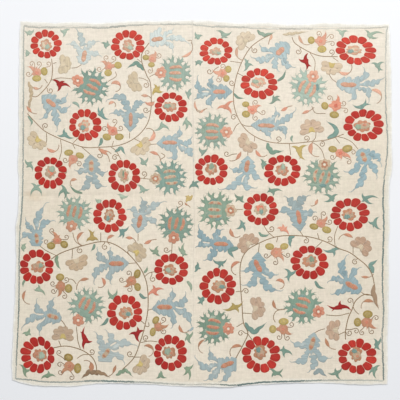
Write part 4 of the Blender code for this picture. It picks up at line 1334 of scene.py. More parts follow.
Flower = namedtuple("Flower", "x y rx ry horn_x horn_y bend fade "
                              "fruit1_x fruit1_y fruit1_long fruit1_wide fruit1_tilt "
                              "fruit2_x fruit2_y fruit2_long fruit2_wide fruit2_tilt")
FLOWERS = [
    Flower(37.0, 73.0, 3.8, 4.4, 27.6, 67.0, 1, 0.6, 44.4, 71.5, 8.4, 6.8, 80, 36.9, 78.5, 9.2, 6.4, 0),
    Flower(109.0, 66.6, 3.8, 3.6, 100.6, 62.0, 1, 0.55, 118.1, 65.3, 7.6, 7.0, 20, 108.2, 72.9, 7.7, 6.8, 0),
    Flower(152.4, 58.8, 3.1, 4.8, 154.6, 50.6, 1, 0.65, 145.8, 57.6, 6.8, 5.4, 5, 151.4, 64.8, 6.8, 5.2, 0),
    Flower(112.9, 130.9, 4.3, 4.2, 108.0, 122.4, -1, 0.2, 106.9, 137.0, 8.7, 6.9, 20, 119.3, 136.9, 9.0, 6.7, -5),
    Flower(73.2, 159.2, 4.6, 3.8, 70.6, 168.4, 1, 0.45, 68.8, 152.6, 9.2, 6.2, -5, 80.0, 155.5, 8.6, 5.9, 22),
    Flower(320.6, 41.4, 5.2, 4.0, 325.2, 31.4, 1, 0.5, 311.1, 40.4, 7.6, 7.0, 90, 321.8, 49.3, 9.2, 7.2, 0),
    Flower(222.6, 73.5, 4.0, 3.9, 212.4, 69.4, -1, 0.5, 228.3, 69.3, 7.2, 6.3, 80, 226.4, 78.5, 7.0, 6.2, 120),
    Flower(252.2, 109.9, 4.3, 4.1, 261.6, 106.2, -1, 0.25, 245.7, 104.3, 7.4, 5.8, 0, 246.0, 114.1, 8.3, 6.9, 10),
    Flower(335.8, 105.6, 5.2, 4.8, 337.0, 94.6, 1, 0.0, 324.8, 105.8, 7.8, 7.2, 60, 334.2, 114.8, 9.6, 7.0, 5),
    Flower(340.2, 153.2, 4.9, 3.6, 350.8, 159.6, -1, 0.15, 332.6, 149.2, 8.8, 6.7, 10, 347.2, 148.6, 10.6, 7.2, -12),
    Flower(57.6, 240.4, 3.6, 3.5, 51.6, 231.8, 1, 0.05, 51.2, 245.7, 8.5, 7.5, 0, 64.3, 244.4, 8.3, 7.2, 40),
    Flower(60.8, 286.0, 4.0, 4.9, 57.0, 296.8, -1, 0.1, 60.2, 277.1, 8.5, 7.5, 0, 68.6, 288.4, 8.9, 7.6, 90),
    Flower(131.6, 280.6, 4.5, 4.4, 123.2, 286.6, -1, 0.1, 137.3, 273.8, 9.3, 6.8, 105, 137.6, 287.0, 8.4, 6.6, 75),
    Flower(158.2, 326.8, 3.9, 4.3, 168.6, 324.0, 1, 0.25, 155.8, 320.0, 8.5, 6.4, 126, 152.8, 331.9, 8.9, 6.0, 100),
    Flower(69.7, 366.0, 4.4, 4.9, 62.0, 375.2, 1, 0.0, 68.6, 357.3, 9.3, 7.7, 20, 77.7, 368.2, 10.4, 7.4, 95),
    Flower(320.7, 223.4, 4.4, 3.6, 326.8, 215.0, 1, 0.25, 313.8, 226.5, 9.0, 6.3, 12, 326.6, 229.8, 9.5, 6.8, 15),
    Flower(276.4, 252.5, 5.1, 4.8, 283.2, 261.8, -1, 0.3, 269.6, 246.5, 9.1, 6.8, 8, 284.2, 246.3, 8.4, 6.6, -10),
    Flower(283.0, 329.0, 5.1, 4.1, 292.8, 333.6, 1, 0.45, 272.7, 329.1, 8.2, 7.2, 90, 283.6, 321.5, 10.2, 7.2, 0),
    Flower(366.5, 321.9, 5.1, 4.7, 377.4, 327.8, 1, 0.1, 357.4, 322.1, 8.9, 7.5, 90, 367.6, 314.1, 10.0, 8.0, 0),
]


def flower(f):
    """A small peach flower with one long curled horn and two ochre fruits."""
    rnd = chance(f.x, f.y, 9)
    brown = float(np.clip((f.y - 140) / 160, 0, 1)) * (0.95 if f.x < 200 else 0.55)
    fruits = ((f.fruit1_x, f.fruit1_y, f.fruit1_long, f.fruit1_wide, f.fruit1_tilt),
              (f.fruit2_x, f.fruit2_y, f.fruit2_long, f.fruit2_wide, f.fruit2_tilt))
    for x, y, long, wide, tilt in fruits:
        fade = 0.25 + 0.65 * f.fade + rnd.uniform(-0.08, 0.08) - 0.12 * brown
        patch("silk_ochre", [oval(x, y, long / 2, wide / 2, tilt, 24)], along=tilt + 80, tone=(fade, 0.0), level=1, puff=0.3)
        patch("silk_ochre", [ragged_blob(x, y, long * 0.27, wide * 0.24, 5, 0.2, rnd, tilt)], along=tilt + 60,
              tone=(fade + 0.12, 0.3), level=2, puff=0.06)
    dx, dy = f.horn_x - f.x, f.horn_y - f.y
    horn = math.atan2(dy, dx)
    far = math.hypot(dx, dy)

    def prong(angle, reach, sway, width):
        knee = (f.x + reach * 0.62 * math.cos(angle) - sway * math.sin(angle),
                f.y + reach * 0.62 * math.sin(angle) + sway * math.cos(angle))
        return leaf([(f.x, f.y), knee, (f.x + reach * math.cos(angle), f.y + reach * math.sin(angle))], width, 0.2, 0.9)

    shapes = [oval(f.x, f.y, f.rx, f.ry, rnd.uniform(-12, 12), 24),
              lobed(f.x, f.y, (f.rx + f.ry) / 2 + 0.5, 5, 0.16, rnd.uniform(0, 72), rnd=rnd),
              prong(horn, far * 1.04, f.bend * 1.7, 4.4),
              prong(horn + f.bend * math.radians(62), far * 0.62, -f.bend * 0.8, 3.2),
              prong(horn - f.bend * math.radians(56), far * 0.6, f.bend * 0.8, 2.8)]
    for x, y, long, wide, tilt in fruits:
        shapes.append(oval(f.x * 0.55 + x * 0.45, f.y * 0.55 + y * 0.45, 2.6, 2.0, math.degrees(math.atan2(y - f.y, x - f.x)), 14))
    patch("silk_peach", shapes, along=math.degrees(horn) + 70, tone=(0.36 + 0.6 * f.fade, min(1.0, 0.12 + rnd.uniform(0.0, 0.15) + brown)))
    patch("silk_peach", [lobed(f.x, f.y, 2.3, 4, 0.2, rnd.uniform(0, 90), rnd=rnd)],
          along=math.degrees(horn), tone=(0.12 + 0.5 * f.fade, 0.7 * brown), level=1, puff=0.06)


# sprigs: middle, up to four tips (0, 0 where there is none), colour, fade, turn
Sprig = namedtuple("Sprig", "x y x1 y1 x2 y2 x3 y3 x4 y4 colour fade turn")
R, O = "silk_red", "silk_ochre"
SPRIGS = [
    Sprig(30, 33, 25, 30.5, 27.5, 36, 34, 29.5, 0, 0, G, 0.9, 0.1), Sprig(64.4, 32, 70, 30, 60.5, 29.5, 63, 37, 0, 0, G, 0.8, 0.2),
    Sprig(27.5, 53.5, 25.5, 50, 25.5, 56.5, 30.5, 53.5, 0, 0, G, 0.8, 0.2), Sprig(106.5, 45.3, 101, 43.2, 107, 40.5, 106.5, 49, 110.5, 45.5, G, 0.55, 0.4),
    Sprig(198, 37, 195.5, 32, 195, 39, 202.5, 36, 0, 0, G, 0.5, 0.4), Sprig(199, 62, 195, 61, 203, 61, 200, 66, 196, 66, G, 0.5, 0.5),
    Sprig(189, 94, 185.5, 90.5, 192, 88.5, 189.5, 99.5, 0, 0, G, 0.7, 0.4), Sprig(186.5, 122, 183, 126, 192, 128, 187.5, 117, 185, 130, G, 0.5, 0.2),
    Sprig(162, 125.7, 154, 130, 162.5, 121.5, 169, 130.5, 0, 0, G, 0.55, 0.3), Sprig(101.8, 114.8, 98.8, 107, 104.4, 107.4, 109, 119, 97.6, 113.4, G, 0.1, 0.8),
    Sprig(65, 134.5, 57.5, 135, 65, 128.5, 74, 137.5, 0, 0, G, 0.1, 0.7), Sprig(29.5, 164.5, 25.5, 159.5, 26, 167, 32.5, 171, 33, 162, G, 0.4, 0.3),
    Sprig(36.2, 187.8, 31, 183.6, 31.2, 195.8, 41.6, 195.6, 41.2, 185.4, G, 0.45, 0.3), Sprig(64.5, 190, 60.5, 185, 70.5, 193, 64, 199, 59, 197, G, 0.25, 0.4),
    Sprig(143, 163, 139, 157.5, 148, 157, 146.5, 166.5, 0, 0, G, 0.5, 0.3), Sprig(142.5, 189, 137, 185, 149.5, 188.8, 143.5, 193.5, 139, 193, G, 0.6, 0.3),
    Sprig(194, 184.5, 189.5, 189, 194, 180, 200, 182, 198.5, 189, G, 0.15, 0.6), Sprig(122.3, 196.7, 117.4, 194.6, 128.4, 195.2, 122.8, 200, 0, 0, G, 0.7, 0.0),
    Sprig(223.6, 34.8, 216.5, 31, 231.4, 31.6, 220.4, 38.4, 228, 37.6, G, 0.55, 0.3), Sprig(341.6, 33.2, 335.5, 30.5, 348, 31.5, 341.6, 38, 0, 0, G, 0.7, 0.1),
    Sprig(369.2, 35.6, 364.8, 30.4, 383.4, 34.2, 369.2, 39.4, 377.6, 37.6, G, 0.6, 0.1), Sprig(377.5, 66, 384, 62.5, 371, 63.5, 378, 72.5, 383, 70, G, 0.45, 0.4),
    Sprig(247, 65, 243.5, 58.5, 253, 66, 243.5, 71, 249, 60, G, 0.5, 0.5), Sprig(274.5, 99.5, 269, 103.5, 280, 96.5, 280.5, 101.5, 274, 95, G, 0.4, 0.3),
    Sprig(361.6, 106.8, 353, 104.6, 365.4, 99, 370.6, 105.2, 360, 110.6, G, 0.2, 0.7), Sprig(263.5, 164.5, 260, 159, 266.5, 161.5, 263.8, 169.5, 268, 166, G, 0.25, 0.4),
    Sprig(202.5, 152, 199.5, 147, 206, 151, 201, 156, 207, 148, G, 0.4, 0.4), Sprig(272.5, 191, 269, 187, 282, 191.3, 272.7, 196, 267, 193, G, 0.25, 0.3),
    Sprig(240.4, 198.4, 234.8, 193.2, 243, 195, 235.8, 202.2, 244.6, 202.2, G, 0.3, 0.3), Sprig(332, 198.2, 323.2, 195.2, 337.8, 194.6, 324.2, 201, 334.4, 201.6, G, 0.25, 0.5),
    Sprig(365, 198.6, 362.4, 193.2, 377.8, 198.4, 373, 203.4, 361.2, 201.2, G, 0.2, 0.6),
    Sprig(122, 231, 128.6, 226.2, 118, 237, 122.4, 238, 119.6, 228.6, G, 0.05, 0.8), Sprig(23.6, 247.5, 21.5, 244.5, 26.5, 243.5, 24.5, 251.5, 0, 0, G, 0.5, 0.0),
    Sprig(156, 251.4, 149.6, 248, 158.4, 246.2, 161, 256, 152, 253.6, G, 0.5, 0.0), Sprig(183, 252, 179, 246.4, 184.8, 243.2, 188, 254.6, 182, 256.8, G, 0.5, 0.0),
    Sprig(197, 267, 194, 272, 197, 262, 201, 268, 0, 0, G, 0.15, 0.7), Sprig(38.5, 289.5, 34, 289, 45, 295.5, 38.3, 284.5, 0, 0, G, 0.5, 0.0),
    Sprig(112.6, 297, 108.6, 288.8, 116.8, 289.2, 108.4, 299, 116, 299.4, G, 0.45, 0.1), Sprig(27.5, 333.5, 22.5, 334, 29, 327.8, 31, 335.5, 0, 0, G, 0.4, 0.0),
    Sprig(25, 370.5, 19.5, 364.5, 27.5, 377, 31, 368, 0, 0, G, 0.3, 0.0), Sprig(48, 375.5, 41.5, 379, 48, 370.5, 55.5, 376.5, 0, 0, G, 0.3, 0.0),
    Sprig(188.5, 337, 185, 333, 192.5, 331, 191.5, 343.5, 185.5, 341, G, 0.45, 0.0), Sprig(160.5, 374.5, 156, 378, 160.5, 370.5, 166.5, 377.5, 0, 0, G, 0.35, 0.1),
    Sprig(187.5, 368.5, 183, 375, 188.5, 380, 193, 364, 184, 367, G, 0.4, 0.0),
    Sprig(242, 225, 236, 228.5, 239.5, 220, 245.5, 223, 244.5, 231.5, G, 0.1, 0.7), Sprig(219.8, 263, 213, 259, 226.5, 259, 217.5, 268.5, 223, 267, G, 0.1, 0.7),
    Sprig(374.7, 223, 379, 217, 380.5, 229, 368, 221, 374, 228, G, 0.1, 0.6), Sprig(333, 250.5, 323, 249, 336, 245.5, 333.5, 256.5, 340, 249.7, G, 0.1, 0.7),
    Sprig(290, 274, 284, 269, 296, 269, 289.5, 282, 284.5, 277, G, 0.1, 0.7), Sprig(202, 299.5, 198, 296, 206, 297, 203, 305, 197, 303, G, 0.15, 0.6),
    Sprig(376.6, 344.2, 373.4, 338.6, 380, 337, 380.4, 349.6, 373.4, 348.6, G, 0.15, 0.6), Sprig(284.5, 351, 284.2, 345.5, 278.5, 351, 292, 355, 284.8, 357, G, 0.1, 0.5),
    Sprig(275, 373, 282.5, 368.5, 282, 377.5, 269, 369, 272, 377, G, 0.2, 0.3), Sprig(336.6, 372.4, 328, 372.6, 341.4, 367.6, 340.6, 379, 335.6, 368, G, 0.2, 0.4),
    Sprig(374.7, 369, 370.5, 365, 380, 365.5, 376, 378, 369, 375, G, 0.15, 0.4),
    Sprig(59.6, 84.8, 52.2, 80.2, 70, 87.4, 57.4, 91, 64.6, 81.6, R, 0.2, 0.6), Sprig(305.5, 61, 308, 53.5, 299, 59, 306, 70, 311, 66, R, 0.2, 0.6),
    Sprig(85.4, 340.4, 80.4, 332.2, 84.8, 327.6, 92, 341, 84.2, 349, R, 0.1, 0.6), Sprig(137, 334, 129.5, 334.6, 137, 327, 139.5, 341.5, 144.4, 331, R, 0.1, 0.6),
    Sprig(340.6, 306.8, 328, 305.2, 340.6, 301, 350.6, 310.4, 332.4, 311, R, 0.1, 0.6),
    Sprig(156.5, 90, 154, 84.5, 159, 85.5, 163, 91.5, 153, 95.5, O, 0.4, 0.2), Sprig(299, 150.2, 291.4, 147, 307, 145.8, 299.4, 158.8, 305, 159.4, O, 0.5, 0.3),
    Sprig(92, 238.4, 88, 229.6, 94.6, 231.4, 98.2, 240.6, 86.6, 241.6, O, 0.1, 0.3), Sprig(233.5, 307, 223.5, 309, 242.5, 301.5, 238.5, 312.5, 231.5, 303, O, 0.4, 0.1),
    Sprig(189, 198.6, 185.2, 196.4, 192.2, 194.4, 188.8, 195, 186.4, 202.6, O, 0.4, 0.7), Sprig(98.8, 201.4, 95.8, 198.6, 101.8, 200.6, 97.2, 205, 0, 0, G, 0.65, 0.0),
    Sprig(225.8, 107, 217, 109.5, 224.5, 105, 231, 114.5, 234, 101.5, P, 0.35, 0.2), Sprig(154, 291, 152.5, 285, 163.5, 289.5, 159, 295, 148.5, 296, P, 0.1, 0.1),
    Sprig(282.5, 229, 277, 228.5, 282.3, 224, 288.5, 235, 287, 226, P, 0.35, 0.1), Sprig(151, 104, 145, 101.5, 154, 101.5, 152.5, 105, 0, 0, P, 0.5, 0.2),
]


def needle(start, knee, tip, width):
    """A prong that narrows at once and runs out thin."""
    c = smooth_line([start, knee, tip], 0.42)
    t = np.linspace(0, 1, len(c))
    way = np.gradient(c, axis=0)
    way /= np.maximum(np.linalg.norm(way, axis=1, keepdims=True), 1e-6)
    side = np.stack([-way[:, 1], way[:, 0]], -1)
    half = np.maximum(width / 2 * (1 - t) ** 0.9, 0.55 * (1 - 0.8 * t ** 3))[:, None]
    return np.vstack([c + side * half, (c - side * half)[::-1]])


def fresher(colour, fade, y):
    """The green of the lower rows is less worn."""
    return max(0.0, fade - 0.08 - 0.17 * min(max((y - 150) / 80, 0.0), 1.0)) if colour == G else fade


def sprig(s):
    """A sprig like a bird's foot: curved prongs that meet in a small knot."""
    rnd = chance(s.x, s.y, 11)
    full = {R: 1.15, O: 1.2, P: 1.1}.get(s.colour, 1.0)
    tips = [(x, y) for x, y in ((s.x1, s.y1), (s.x2, s.y2), (s.x3, s.y3), (s.x4, s.y4)) if x]
    lean = math.degrees(math.atan2(tips[0][1] - tips[1][1], tips[0][0] - tips[1][0]))
    shapes = [oval(s.x, s.y, 2.7 * full, 2.0 * full, lean, 16)]
    for x, y in tips:
        dx, dy = (x - s.x) * 1.1, (y - s.y) * 1.1
        bend = 0.16 * rnd.choice((-1, 1))
        knee = (s.x + dx * 0.5 - dy * bend, s.y + dy * 0.5 + dx * bend)
        start = (s.x - dx * 0.08, s.y - dy * 0.08)
        shapes.append(needle(start, knee, (s.x + dx, s.y + dy), (4.5 - 0.3 * s.fade) * full))
    fade = 0.2 + 0.8 * s.fade if s.colour == P else fresher(s.colour, s.fade, s.y)
    patch(s.colour, shapes, along=rnd.uniform(0, 180), tone=(fade, s.turn), puff=0.22)


# leaves and commas: a spine of three points, width, colour, fade, turn, lobes
Leaf = namedtuple("Leaf", "x1 y1 x2 y2 x3 y3 width colour fade turn lobes")
N = "silk_brown"
LEAVES = [
    Leaf(144, 70.2, 136.4, 63.4, 126.6, 68.6, 5.0, G, 0.0, 0.6, 3), Leaf(72.5, 102.5, 77, 104, 80, 108.8, 3, G, 0.75, 0.4, 0),
    Leaf(101.6, 138, 101, 143, 97.8, 147, 3.4, G, 0.0, 0.6, 0), Leaf(115, 152, 121, 148.4, 125.8, 155.4, 4.0, G, 0.05, 0.7, 2),
    Leaf(28.2, 116, 32, 122, 29.8, 127, 2.6, G, 0.35, 0.3, 0), Leaf(257, 30.4, 264, 35, 275, 32.3, 4.4, G, 0.45, 0.2, 3),
    Leaf(277.5, 81, 283, 77, 286, 69.5, 3.0, G, 0.15, 0.4, 0), Leaf(233.6, 93.4, 238, 97.6, 244.6, 98.4, 2.6, G, 0.2, 0.4, 0),
    Leaf(327.6, 138.8, 337.0, 130.4, 326, 120.6, 5.6, G, 0.0, 0.7, 2), Leaf(292.5, 135.5, 291.2, 139, 293, 142.5, 2.4, G, 0.4, 0.3, 0),
    Leaf(267, 143, 271.6, 151.6, 284, 150.8, 5.6, G, 0.1, 0.4, 3), Leaf(82.4, 193.2, 75, 190.8, 69.2, 184.6, 2.8, G, 0.25, 0.2, 0),
    Leaf(139.5, 293.5, 143.6, 297.6, 148.2, 297.2, 3.4, G, 0.1, 0.6, 0),
    Leaf(108, 318, 105, 323, 99.6, 326, 3.4, G, 0.05, 0.6, 0), Leaf(57.4, 255.2, 56.8, 262.5, 61, 270, 4.0, G, 0.3, 0.0, 2),
    Leaf(94.6, 244, 93.6, 248, 90.6, 251.4, 2.8, G, 0.2, 0.4, 0), Leaf(144, 272.8, 146.6, 270, 147.4, 265.8, 2.6, G, 0.35, 0.0, 0),
    Leaf(25.6, 279.4, 23.4, 283, 23.2, 287.4, 2.4, G, 0.3, 0.1, 0), Leaf(187.2, 281, 190.8, 286, 191.2, 292.4, 3.4, G, 0.6, 0.0, 0),
    Leaf(116, 375.2, 125.5, 370.4, 133.4, 377, 4.6, G, 0.4, 0.0, 4), Leaf(258.4, 232.2, 263.8, 236, 270.6, 233.4, 3.2, G, 0.1, 0.4, 2),
    Leaf(238, 247.8, 229.8, 250.8, 234.4, 258.6, 5.0, G, 0.05, 0.8, 0), Leaf(294.4, 235.4, 289.8, 239.6, 291, 248, 4.8, G, 0.05, 0.7, 2),
    Leaf(373.4, 273, 371, 265, 378, 259.4, 5.2, G, 0.05, 0.7, 2), Leaf(315, 281, 318.6, 286.6, 325, 288.6, 3.4, G, 0.05, 0.6, 0),
    Leaf(244.8, 322.8, 253.6, 331.4, 266.8, 322.4, 6.0, G, 0.05, 0.7, 3), Leaf(313.8, 374.6, 318.6, 370.8, 327, 376.6, 5.8, B, 0.0, 0.9, 2),
    Leaf(193.4, 327, 190.6, 330, 186.8, 330.6, 2.6, B, 0.3, 0.2, 0),
    Leaf(111.4, 83.8, 119.4, 83.4, 116.6, 91.4, 4.4, P, 0.35, 0.1, 0), Leaf(109, 104.4, 111.6, 101.8, 115.6, 106, 3.4, P, 0.4, 0.0, 0),
    Leaf(27, 106.6, 30, 111.4, 35.8, 113.8, 3.6, P, 0.2, 0.3, 0), Leaf(33, 87.4, 38, 89.2, 42, 86.2, 3.2, P, 0.5, 0.2, 0),
    Leaf(47.4, 148.4, 54.4, 151.8, 59, 145.8, 3.8, P, 0.3, 0.2, 0), Leaf(98.6, 148.8, 105, 152, 109.4, 160.6, 4.6, P, 0.3, 0.4, 0),
    Leaf(103.5, 150.4, 107, 151, 110.4, 153, 2.2, P, 0.3, 0.4, 0), Leaf(148.8, 140.8, 154.4, 136.6, 147, 128.6, 4.6, P, 0.4, 0.0, 0),
    Leaf(141.6, 95.4, 147.4, 95.6, 151.2, 98.6, 3.4, P, 0.5, 0.2, 0), Leaf(150, 152, 157, 153.6, 160.4, 160.4, 3.6, P, 0.35, 0.1, 0),
    Leaf(182, 57, 189.4, 54.4, 191.8, 43.4, 3.2, P, 0.4, 0.0, 0), Leaf(184.6, 202.4, 187.2, 204.6, 190.4, 207.4, 2.2, P, 0.6, 0.8, 0), Leaf(76.6, 179.6, 71, 180.6, 71, 185, 3.4, P, 0.75, 0.5, 0),
    Leaf(195, 101.4, 195.8, 108.6, 204, 110.4, 2.6, P, 0.45, 0.1, 0), Leaf(237.4, 47.4, 235.8, 53.4, 242.6, 60.2, 3.6, P, 0.85, 0.1, 0),
    Leaf(271.6, 34.8, 270, 38.6, 268.6, 43.4, 3.2, P, 0.7, 0.3, 0), Leaf(298.8, 35.6, 300.8, 42, 308.4, 44.8, 3.2, P, 0.7, 0.3, 0),
    Leaf(338.6, 71.4, 346.6, 74.4, 351.6, 65.6, 3.8, P, 0.45, 0.0, 0), Leaf(281.2, 110.6, 286, 107.6, 291.4, 106, 3.8, P, 0.15, 0.0, 0),
    Leaf(302.4, 113.8, 307.6, 112, 313.4, 108, 3.4, P, 0.3, 0.1, 0), Leaf(371.2, 90.2, 380.8, 93.6, 377.6, 103, 4.2, P, 0.5, 0.0, 0),
    Leaf(312, 143, 309.6, 150.4, 318, 156.6, 5.2, P, 0.45, 0.3, 0), Leaf(241, 152, 237.6, 158.6, 230.6, 161, 4.0, P, 0.25, 0.3, 0),
    Leaf(255.8, 150.2, 259.4, 156, 266.4, 155.4, 3.6, P, 0.25, 0.1, 0), Leaf(199.6, 112.6, 202.4, 110.4, 206, 108.8, 2.6, P, 0.45, 0.1, 0),
    Leaf(83.4, 232.2, 77.8, 236.4, 81.8, 245.2, 3.6, P, 0.3, 0.4, 0), Leaf(114, 235.6, 107.6, 238.6, 109.2, 244, 3.4, P, 0.35, 0.2, 0),
    Leaf(126, 237.6, 131.4, 237.6, 135.6, 241.4, 3.6, P, 0.25, 0.2, 0), Leaf(144.6, 243.4, 150.4, 240.4, 155.6, 239.4, 3.8, P, 0.2, 0.1, 0),
    Leaf(88.6, 278.8, 81.4, 279.6, 77.4, 284.8, 3.6, P, 0.4, 0.5, 0), Leaf(102, 278, 105, 283.4, 99, 287.4, 3.8, P, 0.15, 0.1, 0),
    Leaf(25.6, 290.8, 22.8, 297, 29, 304, 3.2, P, 0.2, 0.3, 0), Leaf(179.4, 325.2, 181, 331.2, 188.6, 331, 3.6, P, 0.15, 0.2, 0),
    Leaf(144.4, 345.8, 151.8, 346.6, 149.6, 356, 3.8, P, 0.2, 0.4, 0), Leaf(90.6, 371.6, 92.2, 364.6, 85, 360.4, 5.8, P, 0.0, 0.35, 0),
    Leaf(116, 365.4, 114, 371.6, 109.4, 375.8, 3.4, P, 0.25, 0.5, 0), Leaf(317.6, 199.6, 316, 204, 311.8, 206, 3.4, P, 0.4, 0.3, 0),
    Leaf(230.4, 229, 233.4, 236.6, 239.6, 236.4, 4.2, P, 0.3, 0.4, 0), Leaf(352.4, 237.4, 345.8, 234, 339, 238.6, 3.8, P, 0.2, 0.3, 0),
    Leaf(240, 262, 232.6, 264.4, 235.2, 274.6, 3.8, P, 0.25, 0.1, 0), Leaf(276.2, 280.6, 283, 281, 281, 288.6, 3.8, P, 0.2, 0.1, 0),
    Leaf(273.2, 300.4, 274.6, 307.4, 281.2, 309.4, 3.6, P, 0.4, 0.4, 0), Leaf(361.4, 276.8, 367, 277.6, 372.8, 274.8, 3.0, P, 0.4, 0.3, 0),
    Leaf(373.2, 301.8, 363.4, 301.6, 361, 307.4, 4.0, P, 0.3, 0.4, 0), Leaf(242, 346.4, 231.6, 347.6, 230.4, 355, 3.8, P, 0.15, 0.3, 0),
    Leaf(325.4, 338.4, 327, 344.6, 334.6, 349.2, 3.8, P, 0.2, 0.5, 0), Leaf(204.6, 339.6, 198.4, 345.6, 202, 352.6, 2.8, P, 0.3, 0.4, 0),
    Leaf(28.6, 81.6, 31.4, 92, 30.2, 106, 4.4, E, 0.25, 0.6, 4), Leaf(31, 98, 29.4, 104, 28.6, 113.6, 3.0, E, 0.3, 0.5, 2), Leaf(282.6, 34.8, 294, 33.6, 308.4, 31.6, 3.6, E, 0.75, 0.5, 4),
    Leaf(373.4, 285, 374.2, 297, 379, 310, 5.6, N, 0.55, 0.15, 2), Leaf(98.6, 374.2, 90, 371.8, 81, 378.8, 5.8, N, 0.12, 0.1, 3), Leaf(91.6, 372.4, 101, 372.8, 110.4, 377.4, 4.8, N, 0.2, 0.2, 3),
    Leaf(257.6, 128.8, 262, 130.6, 266, 130.8, 1.6, N, 0.4, 0.1, 0),
]


def arc_through(a, b, c, before=0.0, after=0.0, step=0.42):
    """Places on the circle through three points, run on a little at its ends."""
    (ax, ay), (bx, by), (cx, cy) = a, b, c
    d = 2 * (ax * (by - cy) + bx * (cy - ay) + cx * (ay - by))
    if abs(d) < 3.0:
        return smooth_line([a, b, c], step)
    ux = ((ax * ax + ay * ay) * (by - cy) + (bx * bx + by * by) * (cy - ay) + (cx * cx + cy * cy) * (ay - by)) / d
    uy = ((ax * ax + ay * ay) * (cx - bx) + (bx * bx + by * by) * (ax - cx) + (cx * cx + cy * cy) * (bx - ax)) / d
    radius = math.hypot(ax - ux, ay - uy)
    first = math.atan2(ay - uy, ax - ux)
    hand = 1 if d > 0 else -1
    sweep = (math.atan2(cy - uy, cx - ux) - first) * hand % (2 * math.pi)
    turn = np.linspace(-before / radius, sweep, max(4, int(sweep * radius / step)))
    ring = np.stack([ux + radius * np.cos(first + hand * turn), uy + radius * np.sin(first + hand * turn)], -1)
    # the run-on curls in tighter
    way = first + hand * sweep + hand * math.pi / 2
    place, tail = ring[-1], []
    for k in range(int(after / step)):
        way += hand * step / max(radius * 0.5, 1.4)
        place = place + step * np.array([math.cos(way), math.sin(way)])
        tail.append(place)
    return np.vstack([ring] + ([tail] if tail else []))


def bract(q, fade, turn, rnd):
    """A comma: a soft bud on the inner side of a thin hooked arc."""
    a, b, c = (q.x1, q.y1), (q.x2, q.y2), (q.x3, q.y3)
    arc = arc_through(a, b, c, 0.6, 1.6)
    n = len(arc)
    s = np.linspace(0, 1, n)
    way = np.gradient(arc, axis=0)
    way /= np.maximum(np.linalg.norm(way, axis=1, keepdims=True), 1e-6)
    side = np.stack([-way[:, 1], way[:, 0]], -1)
    hand = 1 if (b[0] - a[0]) * (c[1] - b[1]) - (b[1] - a[1]) * (c[0] - b[0]) > 0 else -1
    peak, end = 0.3, 0.66
    swell = np.where(s < peak, 0.12 + 0.88 * np.sin(math.pi / 2 * s / peak),
                     np.cos(math.pi / 2 * np.clip((s - peak) / (end - peak), 0, 1)))
    inner = np.maximum(q.width * 0.66 * swell, 0.12)
    outer = np.maximum(q.width * 0.26 * swell, 0.12)
    keep = s <= end
    left = arc + side * (inner if hand > 0 else outer)[:, None]
    right = arc - side * (outer if hand > 0 else inner)[:, None]
    shape = np.vstack([left[keep], right[keep][::-1]])
    along = math.degrees(math.atan2(q.y3 - q.y1, q.x3 - q.x1))
    patch("silk_peach", [shape], along=along + rnd.uniform(50, 80), tone=(fade, turn), puff=0.22)
    thin = arc[int(n * 0.46):]
    line("silk_brown", thin, width=2.7, high=0.4, tone=(min(0.9, 0.25 + 0.6 * fade), 0.0), ready=True)
    line("silk_brown", arc[:int(n * 0.2) + 3], width=1.9, high=0.4, tone=(min(0.9, 0.3 + 0.6 * fade), 0.0), ready=True)


def comma(q):
    """One leaf, or a comma-shaped bract."""
    rnd = chance(q.x1, q.y1, 13)
    spine = [(q.x1, q.y1), (q.x2, q.y2), (q.x3, q.y3)]
    along = math.degrees(math.atan2(q.y3 - q.y1, q.x3 - q.x1))
    root = 0.55 if not q.lobes else 0.35
    fade = fresher(q.colour, q.fade, q.y1)
    if q.colour == P:
        fade = min(1.0, 0.25 + 0.75 * q.fade + float(np.clip((200 - q.y1) / 700, 0, 0.2)))
    turn = q.turn
    width = q.width
    if q.colour == P:
        turn = min(1.0, q.turn + float(np.clip((q.y1 - 120) / 300, 0.1, 0.6)))
        bract(q, fade, turn, rnd)
        return
    patch(q.colour, [leaf(spine, width, 0.32, root, q.lobes, 0.4)], along=along + rnd.uniform(50, 80),
          tone=(fade, turn), puff=0.22)


# vines as runs of places, with a width in millimetres
VINES = [
    [(149.2, 42.7), (142, 53.6), (142, 62.5), (146.7, 75.3), (150.5, 84.2), (151, 108.4), (146.7, 125), (135.2, 137.8),
     (118.6, 145.4), (98.2, 147.3), (84.2, 147.3), (68.9, 142.2), (53.6, 135.8), (43.4, 130), (33.2, 119.9), (27.4, 113.5)],
    [(51.7, 58.7), (52.6, 71.4), (49.7, 82.9), (38.3, 95.7), (32, 96.6)],
    [(271.4, 34.4), (261.2, 39.5), (251, 47.2), (243.4, 58.7), (237.6, 72.7), (234.4, 85.5), (233.4, 97), (235, 109.7),
     (240.8, 123), (251, 134), (267.6, 141.6), (289.3, 143.5), (311, 141.6), (327.6, 139.7), (344, 134)],
    [(291.8, 37), (295, 43.4), (307, 51), (319.9, 56), (337.8, 56.8)],
    [(51, 259.3), (58.7, 254.2), (67.6, 250.4), (81.6, 246), (99.5, 241.8), (112.2, 243.4), (125, 251), (135.2, 261.2),
     (142.9, 272.7), (147.3, 286.7), (148, 308.4), (144.8, 326.3), (140.3, 341.6), (134, 357.5), (122.4, 369.6)],
    [(52.3, 348), (66.3, 346), (81.6, 350), (91.8, 356.9), (96, 364.5), (96.8, 371)],
    [(235.7, 358.2), (244, 342.9), (247.8, 332.7), (243.4, 322.4), (241.8, 302), (240.2, 281.6), (240.6, 263.8),
     (246.6, 251), (260, 242.7), (275.3, 237), (291.8, 235.5), (309.7, 237), (325, 241.5), (339, 248.5), (349.2, 252.3),
     (358.2, 258.7), (367, 266.3), (372.2, 275.3), (374.7, 287)],
    [(374, 296), (364.5, 294.4), (355.6, 300.8), (351.8, 309.7), (348, 318.6), (345.4, 331.4), (345.4, 339.7)],
]

